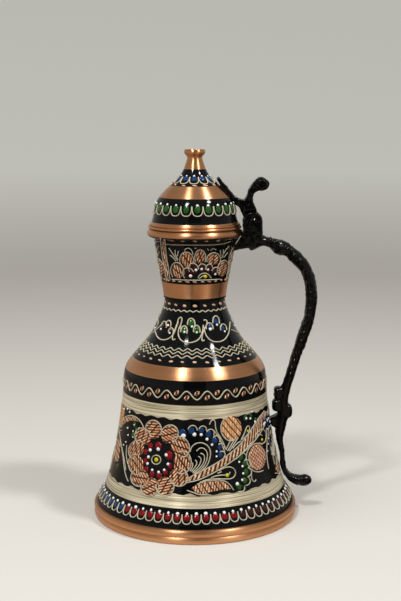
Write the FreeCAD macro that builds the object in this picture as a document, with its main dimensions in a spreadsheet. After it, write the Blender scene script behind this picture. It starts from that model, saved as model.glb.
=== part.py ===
# Copper water jug: a spun copper body and funnel neck, a hinged copper lid and a cast handle.
# The jug's axis is Z, the table is Z = 0 and the handle points along +X. All lengths are millimetres.

import FreeCAD
import Part
import math
import os

from FreeCAD import Placement, Rotation, Vector

os.makedirs("parts", exist_ok=True)
doc = FreeCAD.newDocument("copper_water_jug")

# Driving sizes. Each is written once, and everything below is worked out from them.
SIZES = {
    # Spun body, with the flat bottom and the beaded band round its foot
    "base_radius": 71.3,
    "shoulder_radius": 50.4,
    "waist_radius": 21.2,
    "belly_height": 96.5,
    "shoulder_rise": 51.0,
    "shell_wall": 1.0,
    "floor_relief": 0.3,
    "plate_wall": 1.0,
    "plate_edge_height": 4.0,
    "band_height": 9.5,
    "band_edge": 0.6,
    "band_bead": 0.85,
    # Funnel neck lapped over the waist, and its edge rolled over a wire
    "collar_wall": 0.8,
    "collar_lap": 4.0,
    "neck_height": 48.35,
    "rim_bead_radius": 2.9,
    "rim_flare": 6.45,
    "wire_slack": 0.1,
    # Lid: a dome on a flanged sleeve that drops into the mouth
    "lid_gap": 0.3,
    "lid_wall": 0.7,
    "lid_bead_radius": 0.9,
    "lid_overhang_inset": 0.8,
    "dome_bead_radius": 0.85,
    "dome_bead_inset": 0.85,
    "dome_height": 39.1,
    "crown_radius": 7.7,
    "sleeve_depth": 6.0,
    "sleeve_clearance": 1.0,
    # Knob on the lid, with its stud, washer and nut
    "finial_height": 13.4,
    "stud_radius": 2.0,
    "stud_slack": 0.1,
    "washer_radius": 4.4,
    "washer_thickness": 0.8,
    "nut_corner_radius": 4.0,
    "nut_height": 3.0,
    "stud_tail": 0.8,
    # Hinge at the top of the handle
    "pivot_reach": 7.0,
    "pivot_rise": 4.9,
    "ear_radius": 6.7,
    "fork_width": 14.0,
    "tongue_width": 6.4,
    "tongue_side_gap": 0.3,
    "tongue_radius": 5.4,
    "tongue_floor_gap": 0.6,
    "pin_radius": 1.6,
    "pin_running_gap": 0.06,
    "pin_head_radius": 2.6,
    "pin_head_rise": 0.9,
    # Handle casting
    "root_drop": 9.0,
    "root_half_depth": 4.1,
    "handle_bow": 31.0,
    "handle_thickness": 8.4,
    "handle_width": 11.4,
    "foot_height": 66.3,
    "foot_standoff": 8.1,
    "foot_boss_height": 11.8,
    "foot_boss_width": 7.4,
    "foot_boss_tip": 4.8,
    "tail_curl": 20.0,
    "curl_lobe_length": 5.9,
    "curl_lobe_height": 4.3,
    "pad_thickness": 1.5,
    "pad_width": 23.0,
    "pad_drop": 15.6,
    "pad_height": 9.8,
    # Lid lever casting
    "lever_rise": 25.8,
    "strap_width": 9.0,
    "strap_thickness": 2.7,
    "strap_overhang": 11.5,
    "lever_swing_gap": 1.2,
    "thumb_radius": 4.4,
    "thumb_width": 12.6,
    # Rivets and the washers, called burrs, that they are closed over
    "rivet_radius": 1.3,
    "rivet_head_radius": 2.0,
    "rivet_head_rise": 0.7,
    "neck_rivet_spacing": 18.6,
    "foot_rivet_depth": 3.4,
    "lever_rivet_radius": 1.1,
    "lever_rivet_head_radius": 1.6,
    "lever_rivet_head_rise": 0.3,
    "burr_thickness": 0.8,
    "burr_margin": 0.9,
    # Clearance between pieces that are soldered or riveted face to face
    "seat_gap": 0.05,
    # Run past a face that a cutting tool goes through
    "overrun": 5.0,
}

sheet = doc.addObject("Spreadsheet::Sheet", "sizes")
for row, (alias, value) in enumerate(SIZES.items(), start=1):
    sheet.set(f"A{row}", alias)
    sheet.set(f"B{row}", str(value))
    sheet.setAlias(f"B{row}", alias)
doc.recompute()

# Outlines, from bottom to top, as shares of the sizes that they follow: (across, up)
SKIRT_SHARES = [(1.0, 0.0), (0.97, 0.03), (0.70, 0.105), (0.56, 0.21), (0.33, 0.39), (0.085, 0.69),
                (0.03, 0.90), (0.0, 1.0)]
SHOULDER_SHARES = [(0.89, 0.11), (0.615, 0.29), (0.345, 0.46), (0.20, 0.64), (0.035, 0.86), (0.0, 0.95),
                   (0.0, 1.0)]
NECK_SHARES = [(0.0, 0.0), (0.02, 0.09), (0.29, 0.27), (0.76, 0.68), (1.0, 0.90), (1.0, 1.0)]
DOME_SHARES = [(1.0, 0.0), (0.965, 0.03), (0.91, 0.15), (0.885, 0.33), (0.79, 0.45), (0.565, 0.61),
               (0.35, 0.73), (0.16, 0.84), (0.05, 0.93), (0.0, 1.0)]
FINIAL_SHARES = [(1.0, 0.0), (0.9, 0.18), (0.74, 0.42), (0.64, 0.62), (0.84, 0.72), (1.03, 0.86),
                 (0.91, 1.0)]
# Dish in the top of the knob, as shares of its radius and its height
DISH_SHARES = (0.72, 0.2)

# Handle stations from the fork to the foot: height along the chord, share of the bow, share of the thickness
ARCH_SHARES = [(1.0, 0.0, 0.95), (0.982, 0.25, 1.0), (0.956, 0.49, 1.18), (0.930, 0.65, 1.02),
               (0.896, 0.78, 1.10), (0.852, 0.91, 1.0), (0.790, 0.985, 0.98), (0.725, 1.0, 0.98),
               (0.640, 0.955, 0.95), (0.464, 0.68, 0.93), (0.344, 0.46, 0.81), (0.232, 0.265, 0.79),
               (0.150, 0.13, 0.80), (0.060, 0.06, 0.92)]
# Tail stations below the foot: share of the foot's height, share of the curl, share of the thickness
TAIL_SHARES = [(0.93, 0.33, 0.84), (0.74, 0.22, 0.52), (0.56, 0.155, 0.46), (0.43, 0.15, 0.46),
               (0.365, 0.29, 0.64), (0.33, 0.55, 0.94)]
# Cast buds on the stem: height along the chord, share of the bow, then their offset inwards, length and
# depth as shares of the thickness
BUD_SHARES = [(0.1615, 0.1, 0.38, 1.04, 0.76), (0.09, 0.1, 0.60, 1.10, 0.81),
              (0.059, 0.1, -0.19, 1.12, 0.88)]
# Width of a bud as a share of the handle's, and the radius of its edges as a share of its depth
BUD_WIDTH_SHARE = 0.85
BUD_EDGE_SHARE = 0.4
# Side view of the boss, from the stem's centre into the belly: share of the standoff, share of its taper
BOSS_SHARES = [(0.0, 1.0), (0.3, 1.0), (0.46, 0.86), (0.64, 0.28), (1.12, 0.0)]
# Radius of the stem's rounded edges, as a share of its half thickness
OVAL_TIP_SHARE = 0.8
# Side view of the lever round its pivot, from the strap's end over the thumb piece, as shares of its rise
LEVER_TOP_SHARES = [(-0.36, 0.62), (-0.22, 0.60), (-0.13, 0.81), (-0.05, 0.96), (0.06, 1.11), (0.17, 1.18),
                    (0.34, 1.13), (0.44, 1.0), (0.38, 0.88), (0.26, 0.83), (0.12, 0.82), (0.04, 0.76),
                    (0.0, 0.65), (0.01, 0.54), (0.06, 0.41), (0.11, 0.27)]
LEVER_UNDER_SHARES = [(-0.26, 0.27), (-0.37, 0.39)]
THUMB_SHARES = (0.24, 1.0)
# Half section of the rolled thumb piece, as shares of its radius and its half width
THUMB_ROLL_SHARES = [(0.0, -1.0), (0.72, -1.0), (1.0, -0.6), (1.0, 0.6), (0.72, 1.0), (0.0, 1.0)]
# Seat of the lever's strap, as shares of the dome's height, where its top face starts and where its rivets
# are, as shares of the seat's length
STRAP_SPAN_SHARES = (0.41, 0.58)
STRAP_TOP_SHARE = 0.75
STRAP_RIVET_SHARES = (-0.42, 0.26)
# Underside and top of the strap's free end, as shares of its thickness
STRAP_TIP_SHARES = (0.2, 0.85)
# Flat top of a rivet's head, as a share of the head
HEAD_TOP_SHARE = 0.55
# Where the rolled rim's edge ends, in degrees round the roll
ROLL_END_ANGLE = -115.0


# Outline tools
def spline(poles):
    """A smooth curve that starts on its first pole and ends on its last."""
    curve = Part.BSplineCurve()
    curve.buildFromPoles([Vector(across, up, 0) for across, up in poles], False, 3)
    return curve


def through(points):
    """A smooth curve that passes through every point."""
    curve = Part.BSplineCurve()
    curve.interpolate([Vector(across, up, 0) for across, up in points])
    return curve


def blend(shares, inner, outer, low, high):
    """Shares laid out between two radii and two heights."""
    return [(inner + (outer - inner) * across, low + (high - low) * up) for across, up in shares]


def outset(poles, distance):
    """The outline moved outwards by a distance, square to itself."""
    moved = []
    for index, (across, up) in enumerate(poles):
        before = poles[max(index - 1, 0)]
        after = poles[min(index + 1, len(poles) - 1)]
        run = after[0] - before[0]
        climb = after[1] - before[1]
        length = math.hypot(run, climb)
        moved.append((across + distance * climb / length, up - distance * run / length))
    return moved


def wall_at(poles, height):
    """Radius of an outline at a height, and how far its outward normal tilts up, in radians."""
    curve = spline(poles)
    low = curve.FirstParameter
    high = curve.LastParameter
    for _ in range(40):
        middle = (low + high) / 2
        if curve.value(middle).y < height:
            low = middle
        else:
            high = middle
    along = curve.tangent(low)[0]
    return curve.value(low).x, math.atan2(-along.x, along.y)


def chain(points):
    """Straight lines from point to point."""
    return [Part.LineSegment(Vector(*a, 0), Vector(*b, 0)) for a, b in zip(points, points[1:])]


def bow(centre, radius, start, end):
    """An arc round a centre, anticlockwise between two angles in degrees."""
    circle = Part.Circle(Vector(*centre, 0), Vector(0, 0, 1), radius)
    return Part.ArcOfCircle(circle, math.radians(start), math.radians(end))


def around(centre, radius, angle):
    """The point on a circle at an angle in degrees."""
    turn = math.radians(angle)
    return centre[0] + radius * math.cos(turn), centre[1] + radius * math.sin(turn)


# Document tools
def sketch_in(body, role, name):
    """An empty sketch on one of the body's own origin planes."""
    sketch = body.newObject("Sketcher::SketchObject", name)
    plane = next(feature for feature in body.Origin.OriginFeatures if feature.Role == role)
    sketch.AttachmentSupport = [(plane, "")]
    sketch.MapMode = "FlatFace"
    return sketch


def spun(name, edges):
    """A body turned about the jug's axis from a closed section drawn as (radius, height)."""
    body = doc.addObject("PartDesign::Body", name)
    section = sketch_in(body, "XZ_Plane", name + "_section")
    for edge in edges:
        section.addGeometry(edge, False)
    turn = body.newObject("PartDesign::Revolution", name + "_turn")
    turn.Profile = section
    turn.ReferenceAxis = (section, ["V_Axis"])
    turn.Angle = 360
    return body


def sheet_edges(poles, wall):
    """Section of a spun sheet under an outline."""
    inner = outset(poles, -wall)
    return [spline(poles), spline(inner)] + chain([poles[0], inner[0]]) + chain([poles[-1], inner[-1]])


def solid_edges(poles):
    """Section of the solid inside an outline."""
    return [spline(poles)] + chain([poles[-1], (0, poles[-1][1]), (0, poles[0][1]), poles[0]])


def bind(item, **expressions):
    """Ties properties to the sheet and leaves the item in the document."""
    for name, expression in expressions.items():
        item.setExpression(name, expression)
    return item


def cylinder(name, radius, height, place):
    """A cylinder whose radius and height follow the sheet."""
    item = bind(doc.addObject("Part::Cylinder", name), Radius=radius, Height=height)
    item.Placement = place
    return item


def cut(name, base, tool):
    item = doc.addObject("Part::Cut", name)
    item.Base = base
    item.Tool = tool
    return item


def common(name, base, tool):
    item = doc.addObject("Part::Common", name)
    item.Base = base
    item.Tool = tool
    return item


def fuse(name, items):
    item = doc.addObject("Part::MultiFuse", name)
    item.Shapes = items
    return item


def group(name, items):
    """Separate solids that share one node."""
    item = doc.addObject("Part::Compound", name)
    item.Links = items
    return item


def raised(height):
    return Placement(Vector(0, 0, height), Rotation())


# A turned surface is closed along a seam on its +X side. These turn the seam out of the way of a cut.
SEAM_AWAY = Placement(Vector(0, 0, 0), Rotation(Vector(0, 0, 1), 180))
QUARTER_TURN = Rotation(Vector(0, 0, 1), 90)


def wall_seat(poles, height, azimuth=0.0):
    """A place on an outline whose Z points straight out of the wall. The azimuth is in degrees."""
    radius, tilt = wall_at(poles, height)
    out = Rotation(Vector(0, 0, 1), azimuth).multVec(Vector(math.cos(tilt), 0, math.sin(tilt)))
    at = Rotation(Vector(0, 0, 1), azimuth).multVec(Vector(radius, 0, height))
    return Placement(at, Rotation(Vector(0, 0, 1), out))


# Outlines of the vessel
shoulder_height = sheet.band_height + sheet.belly_height
waist_height = shoulder_height + sheet.shoulder_rise
rim_height = waist_height + sheet.neck_height
shell_outline = [(sheet.base_radius, sheet.floor_relief), (sheet.base_radius, sheet.band_height / 2)]
shell_outline += blend(SKIRT_SHARES, sheet.shoulder_radius, sheet.base_radius, sheet.band_height,
                       shoulder_height)
shell_outline += blend(SHOULDER_SHARES, sheet.waist_radius, sheet.shoulder_radius, shoulder_height,
                       waist_height)
lap_top = waist_height + sheet.collar_lap
shell_outline.append((sheet.waist_radius, lap_top))

collar_low_radius = sheet.waist_radius + sheet.seat_gap + sheet.collar_wall
collar_top_radius = collar_low_radius + sheet.rim_flare
roll_inner_radius = sheet.rim_bead_radius - sheet.collar_wall
rim_centre = (collar_top_radius + roll_inner_radius, rim_height - sheet.rim_bead_radius)
rim_outer_radius = rim_centre[0] + sheet.rim_bead_radius
mouth_radius = rim_centre[0] - sheet.rim_bead_radius
neck_outline = blend(NECK_SHARES, collar_low_radius, collar_top_radius, waist_height, rim_centre[1])

# Outlines of the lid
lid_seat = rim_height + sheet.lid_gap + 2 * sheet.lid_bead_radius
lid_bead_outer = rim_outer_radius - sheet.lid_overhang_inset
lid_bead_centre = (lid_bead_outer - sheet.lid_bead_radius, lid_seat - sheet.lid_bead_radius)
dome_base = lid_seat + sheet.seat_gap
dome_bead_centre = (lid_bead_outer - sheet.dome_bead_inset - sheet.dome_bead_radius,
                    dome_base + sheet.dome_bead_radius)
dome_foot = dome_base + 2 * sheet.dome_bead_radius
crown_height = dome_base + sheet.dome_height
dome_outline = blend(DOME_SHARES, sheet.crown_radius, dome_bead_centre[0], dome_foot, crown_height)

# Places of the hinge and of the handle's two ends
pivot = (rim_outer_radius + sheet.pivot_reach, rim_height + sheet.pivot_rise)
root = (pivot[0] + sheet.ear_radius, rim_height - sheet.root_drop)
foot_wall_radius = wall_at(shell_outline, sheet.foot_height)[0]
foot = (foot_wall_radius + sheet.foot_standoff, sheet.foot_height)
pad_low = rim_height - sheet.pad_drop


# Rivets, pins and burrs
def rivet(name, shank, head, rise, grip):
    """A shank along Z from 0 down to -grip, with a hammered head past each end."""
    top = head * HEAD_TOP_SHARE
    return spun(name, chain([(0, rise), (top, rise), (head, 0), (shank, 0), (shank, -grip), (head, -grip),
                             (top, -grip - rise), (0, -grip - rise), (0, rise)]))


def drop_inside(wall, radius, reach, lean=0.0):
    """How far under a seat on a round wall a flat washer lies inside it. The lean is in radians."""
    hollow = radius - wall
    sag = hollow - math.sqrt(hollow * hollow - reach * reach)
    return (wall + sheet.seat_gap) / math.cos(lean) + sag + reach * math.tan(lean)


def burr(name, seat, drop, shank, head):
    """The washer that a rivet at seat is closed over, at a depth under the seat."""
    low = seat * raised(-drop - sheet.burr_thickness)
    blank = cylinder(name + "_blank", f"sizes.{head} + sizes.burr_margin", "sizes.burr_thickness", low)
    hole = cylinder(name + "_hole", f"sizes.{shank} + sizes.seat_gap", "sizes.burr_thickness", low)
    return cut(name, blank, hole)


def drill(name, seat, shank):
    """A hole for a rivet at seat, right through the wall and whatever lies on it."""
    return cylinder(name, f"sizes.{shank} + sizes.seat_gap", "2 * sizes.overrun",
                    seat * raised(-sheet.overrun))


# Body shell, spun in one piece from foot to waist
belly = spun("belly", sheet_edges(shell_outline, sheet.shell_wall))
foot_seat = wall_seat(shell_outline, sheet.foot_height)
body_shell = cut("body_shell", belly, drill("belly_hole", foot_seat, "rivet_radius"))

# Bottom disc with its edge turned up inside the shell
plate_radius = sheet.base_radius - sheet.shell_wall - sheet.seat_gap
plate_inner = plate_radius - sheet.plate_wall
base_plate = spun("base_plate", chain([(0, 0), (plate_radius, 0), (plate_radius, sheet.plate_edge_height),
                                       (plate_inner, sheet.plate_edge_height),
                                       (plate_inner, sheet.plate_wall), (0, sheet.plate_wall), (0, 0)]))

# Band of two beads round the foot
band_inner = sheet.base_radius + sheet.seat_gap
band_outer = band_inner + sheet.band_edge
bead_half = sheet.band_height / 4


def bead_arc(height):
    """Half of the band's section: one bead that swells out between two heights."""
    middle = Vector(band_outer + sheet.band_bead, height + bead_half, 0)
    return Part.Arc(Vector(band_outer, height, 0), middle, Vector(band_outer, height + 2 * bead_half, 0))


foot_band = spun("foot_band", [bead_arc(0), bead_arc(2 * bead_half)]
                 + chain([(band_outer, sheet.band_height), (band_inner, sheet.band_height), (band_inner, 0),
                          (band_outer, 0)]))

# Funnel neck: the sheet runs up inside the rim, over the wire and back under it
neck_inner = outset(neck_outline, -sheet.collar_wall)
roll_lip = chain([around(rim_centre, roll_inner_radius, ROLL_END_ANGLE),
                  around(rim_centre, sheet.rim_bead_radius, ROLL_END_ANGLE)])
funnel = spun("funnel", [spline(neck_outline), spline(neck_inner),
                         bow(rim_centre, roll_inner_radius, ROLL_END_ANGLE, 180),
                         bow(rim_centre, sheet.rim_bead_radius, ROLL_END_ANGLE, 180)]
              + roll_lip + chain([neck_outline[0], neck_inner[0]]))
neck_rivet_height = pad_low + sheet.pad_height / 2
neck_rivet_radius = wall_at(neck_outline, neck_rivet_height)[0]
neck_rivet_azimuth = math.degrees(math.asin(sheet.neck_rivet_spacing / 2 / neck_rivet_radius))
neck_seats = [wall_seat(neck_outline, neck_rivet_height, side * neck_rivet_azimuth) for side in (-1, 1)]
neck_drills = [drill(f"neck_hole_{index}", seat, "rivet_radius") for index, seat in enumerate(neck_seats)]
neck_collar = cut("neck_collar", funnel, group("neck_holes", neck_drills))

rim_wire = bind(doc.addObject("Part::Torus", "rim_wire"),
                Radius2="sizes.rim_bead_radius - sizes.collar_wall - sizes.wire_slack")
rim_wire.Radius1 = rim_centre[0]
rim_wire.Placement = raised(rim_centre[1])

# Lid: the dome stands on the collar's flange, and both have a beaded edge
crown_hole = sheet.stud_radius + sheet.stud_slack
crown_under = crown_height - sheet.lid_wall
dome_inner = outset(dome_outline, -sheet.lid_wall)
dome_inner[-1] = (dome_inner[-1][0], crown_under)
cap = spun("cap", [bow(dome_bead_centre, sheet.dome_bead_radius, -90, 90)]
           + [spline(dome_outline), spline(dome_inner)]
           + chain([dome_outline[-1], (crown_hole, crown_height), (crown_hole, crown_under), dome_inner[-1]])
           + chain([dome_inner[0], (dome_inner[0][0], dome_base), (dome_bead_centre[0], dome_base)]))

sleeve_radius = mouth_radius - sheet.sleeve_clearance
sleeve_inner = sleeve_radius - sheet.lid_wall
sleeve_low = rim_height - sheet.sleeve_depth
flange_under = lid_seat - sheet.lid_wall
lid_collar = spun("lid_collar", [bow(lid_bead_centre, sheet.lid_bead_radius, -90, 90)]
                  + chain([(lid_bead_centre[0], lid_seat), (sleeve_inner, lid_seat),
                           (sleeve_inner, sleeve_low), (sleeve_radius, sleeve_low),
                           (sleeve_radius, flange_under),
                           (lid_bead_centre[0] - sheet.lid_bead_radius, flange_under),
                           (lid_bead_centre[0], lid_seat - 2 * sheet.lid_bead_radius)]))

# Knob, turned with its stud, and the washer and nut that hold it inside the lid
finial_top = crown_height + sheet.finial_height
finial_outline = blend(FINIAL_SHARES, 0, sheet.crown_radius, crown_height, finial_top)
dish_reach = sheet.crown_radius * DISH_SHARES[0]
dish_depth = sheet.finial_height * DISH_SHARES[1]
dish_radius = (dish_reach ** 2 + dish_depth ** 2) / (2 * dish_depth)
dish_turn = math.degrees(math.asin(dish_reach / dish_radius))
stud_end = crown_under - sheet.washer_thickness - sheet.nut_height - sheet.stud_tail
finial = spun("finial", [spline(finial_outline),
                         bow((0, finial_top - dish_depth + dish_radius), dish_radius, -90, dish_turn - 90)]
              + chain([finial_outline[-1], (dish_reach, finial_top)])
              + chain([(0, finial_top - dish_depth), (0, stud_end), (sheet.stud_radius, stud_end),
                       (sheet.stud_radius, crown_height), finial_outline[0]]))
washer_low = crown_under - sheet.washer_thickness
washer_blank = cylinder("washer_blank", "sizes.washer_radius", "sizes.washer_thickness", raised(washer_low))
washer_hole = cylinder("washer_hole", "sizes.stud_radius + sizes.stud_slack", "sizes.washer_thickness",
                       raised(washer_low))
finial_washer = cut("finial_washer", washer_blank, washer_hole)
nut_blank = bind(doc.addObject("Part::Prism", "nut_blank"), Circumradius="sizes.nut_corner_radius",
                 Height="sizes.nut_height")
nut_blank.Polygon = 6
nut_blank.Placement = raised(washer_low - sheet.nut_height)
finial_nut = cut("finial_nut", nut_blank,
                 cylinder("nut_thread", "sizes.stud_radius + sizes.seat_gap", "sizes.nut_height",
                          raised(washer_low - sheet.nut_height)))


# Handle: a lofted stem, a fork for the hinge, a pad on the neck and a boss on the belly
def oval(half_depth, half_width):
    """Four tangent arcs, always in the same order, so that lofts don't twist."""
    tip = half_depth * OVAL_TIP_SHARE
    side = ((half_width - tip) ** 2 + half_depth ** 2 - tip ** 2) / (2 * (half_depth - tip))
    joint = math.degrees(math.atan2(half_width - tip, side - half_depth))
    return [bow((half_depth - side, 0), side, -joint, joint),
            bow((0, half_width - tip), tip, joint, 180 - joint),
            bow((side - half_depth, 0), side, 180 - joint, 180 + joint),
            bow((0, tip - half_width), tip, 180 + joint, 360 - joint)]


def arch_place(up, out):
    """Centre of the stem between the foot and the root, bowed out from the chord that joins them."""
    chord = foot[0] + (root[0] - foot[0]) * up
    return chord + sheet.handle_bow * out, foot[1] + (root[1] - foot[1]) * up


def tail_place(up, out):
    """Centre of the tail, which follows the belly down and curls away from it."""
    height = sheet.foot_height * up
    return wall_at(shell_outline, height)[0] + sheet.tail_curl * out, height


buried = (pivot[0] - sheet.root_half_depth / 2, root[1], ARCH_SHARES[0][2])
stations = [buried] + [(*arch_place(up, out), thick) for up, out, thick in ARCH_SHARES]
stations += [(*tail_place(up, out), thick) for up, out, thick in TAIL_SHARES]

stem = doc.addObject("PartDesign::Body", "stem")
sections = []
for index, (across, up, thick) in enumerate(stations):
    before = stations[max(index - 1, 0)]
    after = stations[min(index + 1, len(stations) - 1)]
    heading = math.degrees(math.atan2(after[0] - before[0], after[1] - before[1]))
    section = sketch_in(stem, "XY_Plane", f"stem_section_{index}")
    section.AttachmentOffset = Placement(Vector(across, 0, up), Rotation(Vector(0, 1, 0), heading))
    half_width = sheet.handle_width / 2 * (1 + thick) / 2
    for edge in oval(sheet.handle_thickness / 2 * thick, half_width):
        section.addGeometry(edge, False)
    sections.append(section)
stem_loft = stem.newObject("PartDesign::AdditiveLoft", "stem_loft")
stem_loft.Profile = sections[0]
stem_loft.Sections = sections[1:]


def bud(name, middle, depth, width, length):
    """A block with rounded edges, cast on the stem."""
    block = bind(doc.addObject("Part::Box", name + "_block"), Length=depth, Width=width, Height=length)
    doc.recompute()
    block.Placement = Placement(middle - Vector(block.Length, block.Width, block.Height) / 2, Rotation())
    item = doc.addObject("Part::Fillet", name)
    item.Base = block
    radius = block.Length.Value * BUD_EDGE_SHARE
    item.Edges = [(edge, radius, radius) for edge in range(1, 13)]
    return item


buds = []
for index, (up, out, inwards, length, depth) in enumerate(BUD_SHARES):
    across, height = arch_place(up, out)
    middle = Vector(across - sheet.handle_thickness * inwards, 0, height)
    buds.append(bud(f"bud_{index}", middle, f"sizes.handle_thickness * {depth}",
                    f"sizes.handle_width * {BUD_WIDTH_SHARE}", f"sizes.handle_thickness * {length}"))

# The tail ends in an egg-shaped lobe, turned about its own long axis
curl_across, curl_height, _ = stations[-1]
lobe = Part.Ellipse(Vector(0, sheet.curl_lobe_length, 0), Vector(sheet.curl_lobe_height, 0, 0),
                    Vector(0, 0, 0))
curl_lobe = spun("curl_lobe", [Part.ArcOfEllipse(lobe, math.pi, 2 * math.pi)]
                 + chain([(0, sheet.curl_lobe_length), (0, -sheet.curl_lobe_length)]))
curl_lobe.Placement = Placement(Vector(curl_across + sheet.curl_lobe_length / 2, 0, curl_height),
                                Rotation(Vector(0, 1, 0), 90) * QUARTER_TURN)

fork = doc.addObject("PartDesign::Body", "fork")
fork_side = sketch_in(fork, "XZ_Plane", "fork_side")
ear_left = pivot[0] - sheet.ear_radius
ear_right = pivot[0] + sheet.ear_radius
web_inside = mouth_radius - sheet.overrun
fork_points = [(ear_left, pivot[1]), (ear_left, rim_centre[1]), (web_inside, rim_centre[1]),
               (web_inside, pad_low), (pivot[0], root[1] - sheet.root_half_depth),
               (ear_right, root[1] + sheet.root_half_depth), (ear_right, pivot[1])]
for edge in [bow(pivot, sheet.ear_radius, 0, 180)] + chain(fork_points):
    fork_side.addGeometry(edge, False)
fork_block = fork.newObject("PartDesign::Pad", "fork_block")
fork_block.Profile = fork_side
fork_block.Midplane = True
fork_block.setExpression("Length", "sizes.fork_width")

slot_floor = pivot[1] - sheet.tongue_radius - sheet.tongue_floor_gap
fork_slot = fork.newObject("PartDesign::SubtractiveBox", "fork_slot")
bind(fork_slot, Width="sizes.tongue_width + 2 * sizes.tongue_side_gap", Length="4 * sizes.ear_radius",
     Height="3 * sizes.ear_radius")
slot_side = -sheet.tongue_width / 2 - sheet.tongue_side_gap
fork_slot.Placement = Placement(Vector(pivot[0] - 2 * sheet.ear_radius, slot_side, slot_floor), Rotation())

along_pin = Rotation(Vector(1, 0, 0), 90)
pin_start = Placement(Vector(pivot[0], sheet.fork_width, pivot[1]), along_pin)
pin_hole = cylinder("pin_hole", "sizes.pin_radius + sizes.seat_gap", "2 * sizes.fork_width", pin_start)

# The pad is the neck's own outline moved out, trimmed to a plate
pad_skin = spun("pad_skin", solid_edges(outset(neck_outline, sheet.seat_gap + sheet.pad_thickness)))
pad_block = bind(doc.addObject("Part::Box", "pad_block"), Length="2 * sizes.base_radius",
                 Width="sizes.pad_width", Height="sizes.pad_height")
pad_block.Placement = Placement(Vector(0, -sheet.pad_width / 2, pad_low), Rotation())
pad = common("pad", pad_skin, pad_block)

# Everything inside the neck's skin, by the clearance that the casting is fitted with
skin_neck = spun("skin_neck", solid_edges(outset(neck_outline, sheet.seat_gap)))
skin_rim = bind(doc.addObject("Part::Torus", "skin_rim"), Radius2="sizes.rim_bead_radius + sizes.seat_gap")
skin_rim.Radius1 = rim_centre[0]
skin_rim.Placement = raised(rim_centre[1])
neck_skin = fuse("neck_skin", [skin_neck, skin_rim])
neck_skin.Placement = SEAM_AWAY
neck_mount = cut("neck_mount", cut("neck_fitted", fuse("neck_casting", [fork, pad]), neck_skin),
                 group("mount_holes", [pin_hole] + neck_drills))

# The boss is a wedge that ends on the belly, with a blind hole for its rivet
def boss_edge(side):
    """Points along the wedge's upper (1) or lower (-1) side."""
    points = []
    for reach, taper in BOSS_SHARES:
        half = sheet.foot_boss_tip / 2 + (sheet.foot_boss_height - sheet.foot_boss_tip) / 2 * taper
        points.append((foot[0] - sheet.foot_standoff * reach, foot[1] + side * half))
    return points


upper, lower = boss_edge(1), boss_edge(-1)
boss = doc.addObject("PartDesign::Body", "boss")
boss_side = sketch_in(boss, "XZ_Plane", "boss_side")
for edge in [spline(upper[1:]), spline(lower[1:])] + chain(upper[:2]) + chain(lower[:2]) + chain(
        [upper[0], lower[0]]) + chain([upper[-1], lower[-1]]):
    boss_side.addGeometry(edge, False)
boss_wedge = boss.newObject("PartDesign::Pad", "boss_wedge")
boss_wedge.Profile = boss_side
boss_wedge.Midplane = True
boss_wedge.setExpression("Length", "sizes.foot_boss_width")

# Over the boss's small tip the belly is a cone that lies on it
foot_tilt = wall_at(shell_outline, sheet.foot_height)[1]
skin_radius = foot_wall_radius + sheet.seat_gap / math.cos(foot_tilt)
skin_spread = sheet.overrun * math.tan(foot_tilt)
skin_cone = bind(doc.addObject("Part::Cone", "skin_cone"), Height="2 * sizes.overrun")
skin_cone.Radius1 = skin_radius + skin_spread
skin_cone.Radius2 = skin_radius - skin_spread
skin_cone.Placement = raised(sheet.foot_height - sheet.overrun) * SEAM_AWAY
foot_drill = cylinder("foot_drill", "sizes.rivet_radius + sizes.seat_gap",
                      "sizes.overrun + sizes.foot_rivet_depth",
                      foot_seat * Placement(Vector(0, 0, -sheet.overrun), QUARTER_TURN))
foot_boss = cut("foot_boss", cut("boss_fitted", boss, skin_cone), foot_drill)
handle = fuse("handle", [stem, neck_mount, foot_boss, curl_lobe] + buds)

# Handle fixings
burr_radius = sheet.rivet_head_radius + sheet.burr_margin
neck_drop = drop_inside(sheet.collar_wall, neck_rivet_radius, burr_radius)
neck_grip = sheet.pad_thickness + neck_drop + sheet.burr_thickness + 3 * sheet.seat_gap
neck_rivets = []
neck_burrs = []
for index, seat in enumerate(neck_seats):
    item = rivet(f"neck_rivet_{index}", sheet.rivet_radius, sheet.rivet_head_radius, sheet.rivet_head_rise,
                 neck_grip)
    item.Placement = seat * raised(sheet.seat_gap + sheet.pad_thickness + sheet.seat_gap)
    neck_rivets.append(item)
    neck_burrs.append(burr(f"neck_burr_{index}", seat, neck_drop, "rivet_radius", "rivet_head_radius"))
handle_neck_rivets = group("handle_neck_rivets", neck_rivets)
handle_neck_burrs = group("handle_neck_burrs", neck_burrs)

foot_drop = drop_inside(sheet.shell_wall, foot_wall_radius, burr_radius)
foot_grip = foot_drop + sheet.burr_thickness + sheet.seat_gap
foot_shank = sheet.foot_rivet_depth - sheet.seat_gap
foot_head_top = sheet.rivet_head_radius * HEAD_TOP_SHARE
handle_foot_burr = burr("handle_foot_burr", foot_seat, foot_drop, "rivet_radius", "rivet_head_radius")
handle_foot_rivet = spun("handle_foot_rivet",
                         chain([(0, foot_shank), (sheet.rivet_radius, foot_shank),
                                (sheet.rivet_radius, -foot_grip), (sheet.rivet_head_radius, -foot_grip),
                                (foot_head_top, -foot_grip - sheet.rivet_head_rise),
                                (0, -foot_grip - sheet.rivet_head_rise), (0, foot_shank)]))
handle_foot_rivet.Placement = foot_seat

hinge_pin = rivet("hinge_pin", sheet.pin_radius, sheet.pin_head_radius, sheet.pin_head_rise,
                  sheet.fork_width + 2 * sheet.seat_gap)
hinge_pin.Placement = Placement(Vector(pivot[0], -sheet.fork_width / 2 - sheet.seat_gap, pivot[1]),
                                along_pin)


# Lid lever: a strap along the dome, a knuckle in the fork and a thumb piece above it
def on_lever(across, up):
    """A point of the lever's side view, from its share of the lever's rise."""
    return pivot[0] + sheet.lever_rise * across, pivot[1] + sheet.lever_rise * up


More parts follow.
